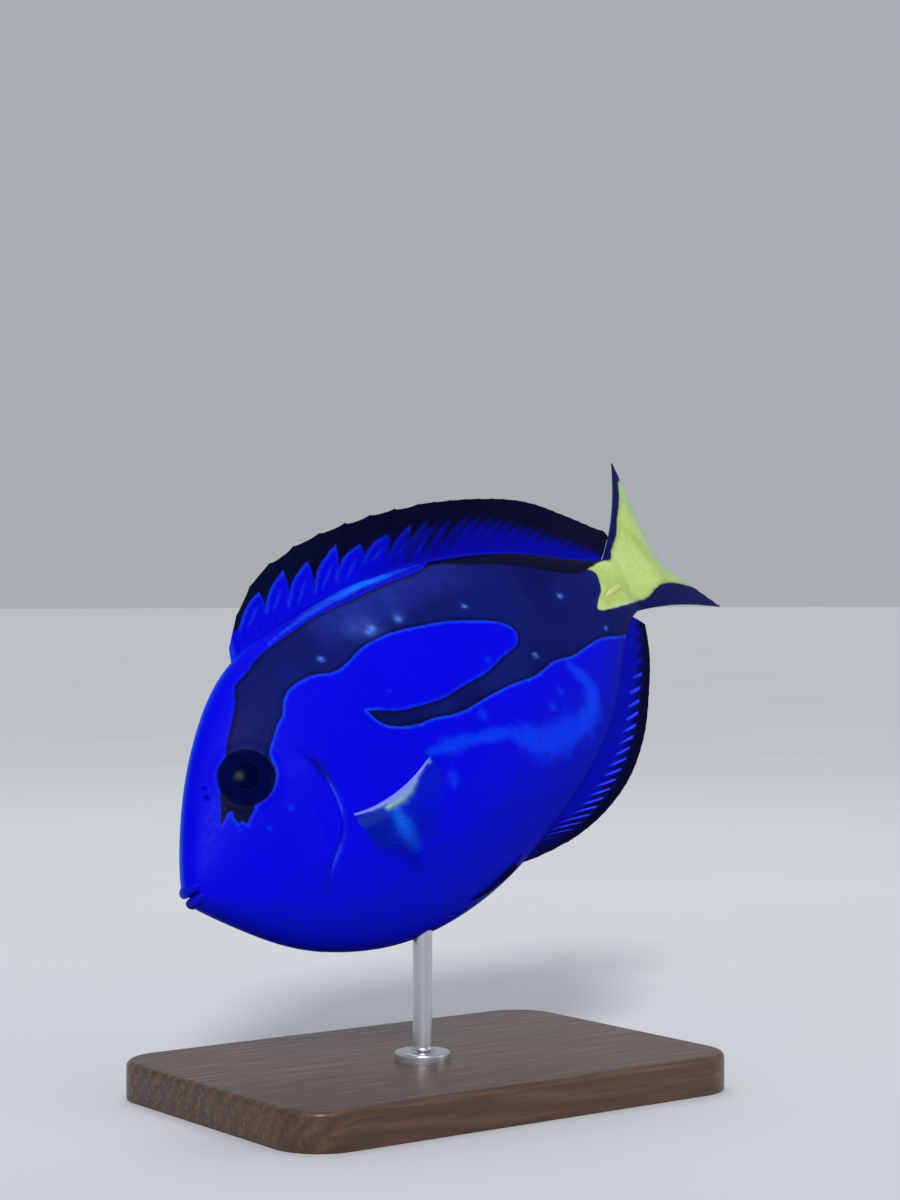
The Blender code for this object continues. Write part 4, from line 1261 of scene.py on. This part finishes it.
def make_blades(material):
    """The folded blade in its groove on each side of the stalk."""
    rings, sides = 40, 24
    share = np.linspace(0, 1, rings)
    x, z = BLADE_START[0] + share * BLADE_LENGTH / LENGTH, np.full(rings, BLADE_START[1])
    radius = BLADE_RADIUS * np.sin(math.pi * (0.02 + 0.7 * share)) ** 0.9
    turn = np.linspace(0, 2 * math.pi, sides, endpoint=False)
    ring = np.stack([np.zeros(sides), 0.75 * np.cos(turn), np.sin(turn)], -1)
    a = np.arange(rings * sides).reshape(rings, sides)
    b = np.roll(a, -1, axis=1)
    faces = np.stack([a[:-1], b[:-1], b[1:], a[1:]], -1).reshape(-1, 4).tolist()
    made = []
    for name, side in (("left", -1), ("right", 1)):
        centre = np.stack([x, side * flank(x, z), z], -1) * LENGTH
        points = centre[:, None] + ring[None] * radius[:, None, None]
        points[:, :, 1] -= side * BLADE_SINK
        ends = [a[0].tolist(), a[-1].tolist()]
        mesh = raw_mesh(f"{name}_blade", stand_up(points.reshape(-1, 3)), faces + ends)
        face_outward(mesh)
        set_values(mesh, {"tip": np.repeat(1 - share, sides)})
        made.append(new_object(mesh.name, mesh, material))
    return made


# Stand


def wood_material():
    """Dark oiled walnut: rings along the base, fine pores and a satin finish."""
    wood = Paint("walnut", specular_ior_level=0.4, coat_weight=0.25, coat_roughness=0.25)
    place = wood.object_place()
    across, up = (wood.add("SeparateXYZ", {0: place}, axis) for axis in "YZ")
    level = wood.noise(place, 18, 3, 0.5, (0.25, 1, 1)) * 0.03 + across + up * 0.8
    pores = wood.noise(place, 900, 4, 0.65, (0.05, 1, 1))
    tone = (level * 1500).calc("SINE").rise(-1, 1)
    colour = wood.mix(tone, (0.06, 0.026, 0.013), (0.12, 0.056, 0.028))
    colour = wood.mix(pores.rise(0.35, 0.62), (0.03, 0.013, 0.007), colour)
    broad = wood.noise(place, 12, 2, 0.5, (0.3, 1, 1))
    colour = wood.mix(broad.rise(0.3, 0.7, 0, 0.5), colour, (0.09, 0.038, 0.018))
    normal = wood.bump(pores, 0.00006, 0.6)
    return wood.done(base_color=colour, roughness=pores.rise(0.3, 0.7, 0.52, 0.38), normal=normal)


def steel_material():
    """Brushed steel, its fine lines running round the rod."""
    steel = Paint("brushed_steel", base_color=(0.55, 0.56, 0.58), metallic=1)
    lines = steel.noise(steel.object_place(), 2600, 3, 0.6, (0.04, 0.04, 1))
    colour = steel.mix(lines, (0.48, 0.49, 0.51), (0.66, 0.67, 0.69))
    normal = steel.bump(lines, 0.00002, 0.5)
    return steel.done(roughness=lines.rise(0.3, 0.7, 0.22, 0.38), base_color=colour, normal=normal)


def make_base(material):
    shape = bmesh.new()
    bmesh.ops.create_cube(shape, size=1.0)
    size = Matrix.Diagonal((BASE_LENGTH, BASE_WIDTH, BASE_HEIGHT, 1))
    lift = Matrix.Translation((0, 0, BASE_HEIGHT / 2))
    bmesh.ops.transform(shape, matrix=lift @ size, verts=shape.verts[:])

    def round_off(edges, offset, segments):
        how = {"offset": offset, "segments": segments, "profile": 0.5, "affect": "EDGES"}
        bmesh.ops.bevel(shape, geom=edges, **how)

    upright = [e for e in shape.edges if abs(e.verts[0].co.z - e.verts[1].co.z) > BASE_HEIGHT / 2]
    round_off(upright, BASE_CORNER, 24)
    top = [e for e in shape.edges if min(v.co.z for v in e.verts) > BASE_HEIGHT * 0.99]
    round_off(top, BASE_TOP_EDGE, 8)
    foot = [e for e in shape.edges if max(v.co.z for v in e.verts) < BASE_HEIGHT * 0.01]
    round_off(foot, BASE_FOOT_EDGE, 2)
    made = new_object("walnut_base", new_mesh("walnut_base", shape), material)
    made.data.set_sharp_from_angle(angle=math.radians(30))
    return made


def make_rod(material):
    """The turned rod and its foot, up to just inside the belly."""
    low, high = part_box("stand_rod")
    x, y = (low.x + high.x) / 2, (low.y + high.y) / 2
    top = high.z - BASE_HEIGHT + ROD_INTO_BELLY

    def bow(radius, height, size, count):
        """A quarter of a circle, from upright to flat."""
        turns = np.linspace(0, math.pi / 2, count)
        return [(radius + size * (1 - math.cos(a)), height + size * (1 - math.sin(a))) for a in turns]

    fillet = bow(ROD_RADIUS, ROD_FOOT_HEIGHT, ROD_FILLET, 8)
    edge = [(r, z) for z, r in bow(0, 0, -ROD_FOOT_EDGE, 6)]
    edge = [(ROD_FOOT_RADIUS + r, ROD_FOOT_HEIGHT + z) for r, z in edge]
    profile = [(0, top), (ROD_RADIUS, top), *fillet, *edge, (ROD_FOOT_RADIUS, 0), (0, 0)]
    edges = [(i, i + 1) for i in range(len(profile) - 1)]
    mesh = raw_mesh("steel_rod", [(r, 0, z) for r, z in profile], [], edges)
    rod = new_object("steel_rod", mesh, material)
    turn = rod.modifiers.new("turn", "SCREW")
    turn.steps = turn.render_steps = 64
    turn.use_merge_vertices = True
    turn.merge_threshold = 0.00001
    turn.use_normal_calculate = True
    graph = bpy.context.evaluated_depsgraph_get()
    turned = bpy.data.meshes.new_from_object(rod.evaluated_get(graph))
    rod.modifiers.clear()
    rod.data = turned
    turned.transform(Matrix.Translation((x, y, BASE_HEIGHT)))
    turned.shade_smooth()
    turned.set_sharp_from_angle(angle=math.radians(35))
    return rod


# Room


def floor_material():
    floor = Paint("pale_floor", roughness=0.7)
    tone = floor.noise(floor.object_place(), 6, 2)
    return floor.done(base_color=floor.mix(tone, (0.6, 0.61, 0.63), (0.66, 0.67, 0.69)))


def make_room():
    """A pale floor, soft studio lights and the photo's camera."""
    shape = bmesh.new()
    bmesh.ops.create_grid(shape, x_segments=2, y_segments=2, size=30.0)
    floor = new_object("floor", new_mesh("floor", shape), floor_material(), smooth=False)
    world = bpy.data.worlds.new("studio")
    world.use_nodes = True
    sky = world.node_tree.nodes["Background"].inputs
    sky[0].default_value = (0.8, 0.84, 0.9, 1)
    sky[1].default_value = 0.5
    bpy.context.scene.world = world
    lamps = (
        ("key", "SUN", (-0.55, -0.75, 0.85), 14, 2.05),
        ("fill", "AREA", (0.75, -0.65, 0.35), 0.6, 0.9),
        ("top", "AREA", (0.25, 0.45, 0.95), 0.5, 2.2),
    )
    for name, kind, place, size, power in lamps:
        light = bpy.data.lights.new(name, kind)
        light.energy = power
        if kind == "SUN":
            light.angle = math.radians(size)
        else:
            light.shape = "DISK"
            light.size = size
        lamp = add_object(name, light)
        lamp.location = place
        lamp.rotation_euler = (Vector(LIGHTS_AIM) - lamp.location).to_track_quat("-Z", "Y").to_euler()
    data = bpy.data.cameras.new("camera")
    data.sensor_fit = "VERTICAL"
    data.sensor_height = SENSOR_HEIGHT
    data.lens = CAMERA_LENS
    data.clip_start = 0.01
    camera = add_object("camera", data)
    camera.location = CAMERA_PLACE
    camera.rotation_euler = (math.pi / 2, 0, math.radians(CAMERA_HEADING))
    bpy.context.scene.camera = camera
    bpy.context.scene.view_settings.view_transform = "Standard"


def main():
    skin = make_skin(skin_material())
    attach(skin, "root")
    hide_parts("head", "trunk", "tail_stalk")
    for fin, node in make_fins().items():
        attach(fin, "root")
        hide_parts(node)
    for eye, node in make_eyes().items():
        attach(eye, "root")
        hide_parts(node)
    for blade in make_blades(blade_material()):
        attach(blade, "root")
    base = make_base(wood_material())
    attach(base, "root")
    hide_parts("stand_base")
    rod = make_rod(steel_material())
    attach(rod, "root")
    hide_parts("stand_rod")
    make_room()


main()
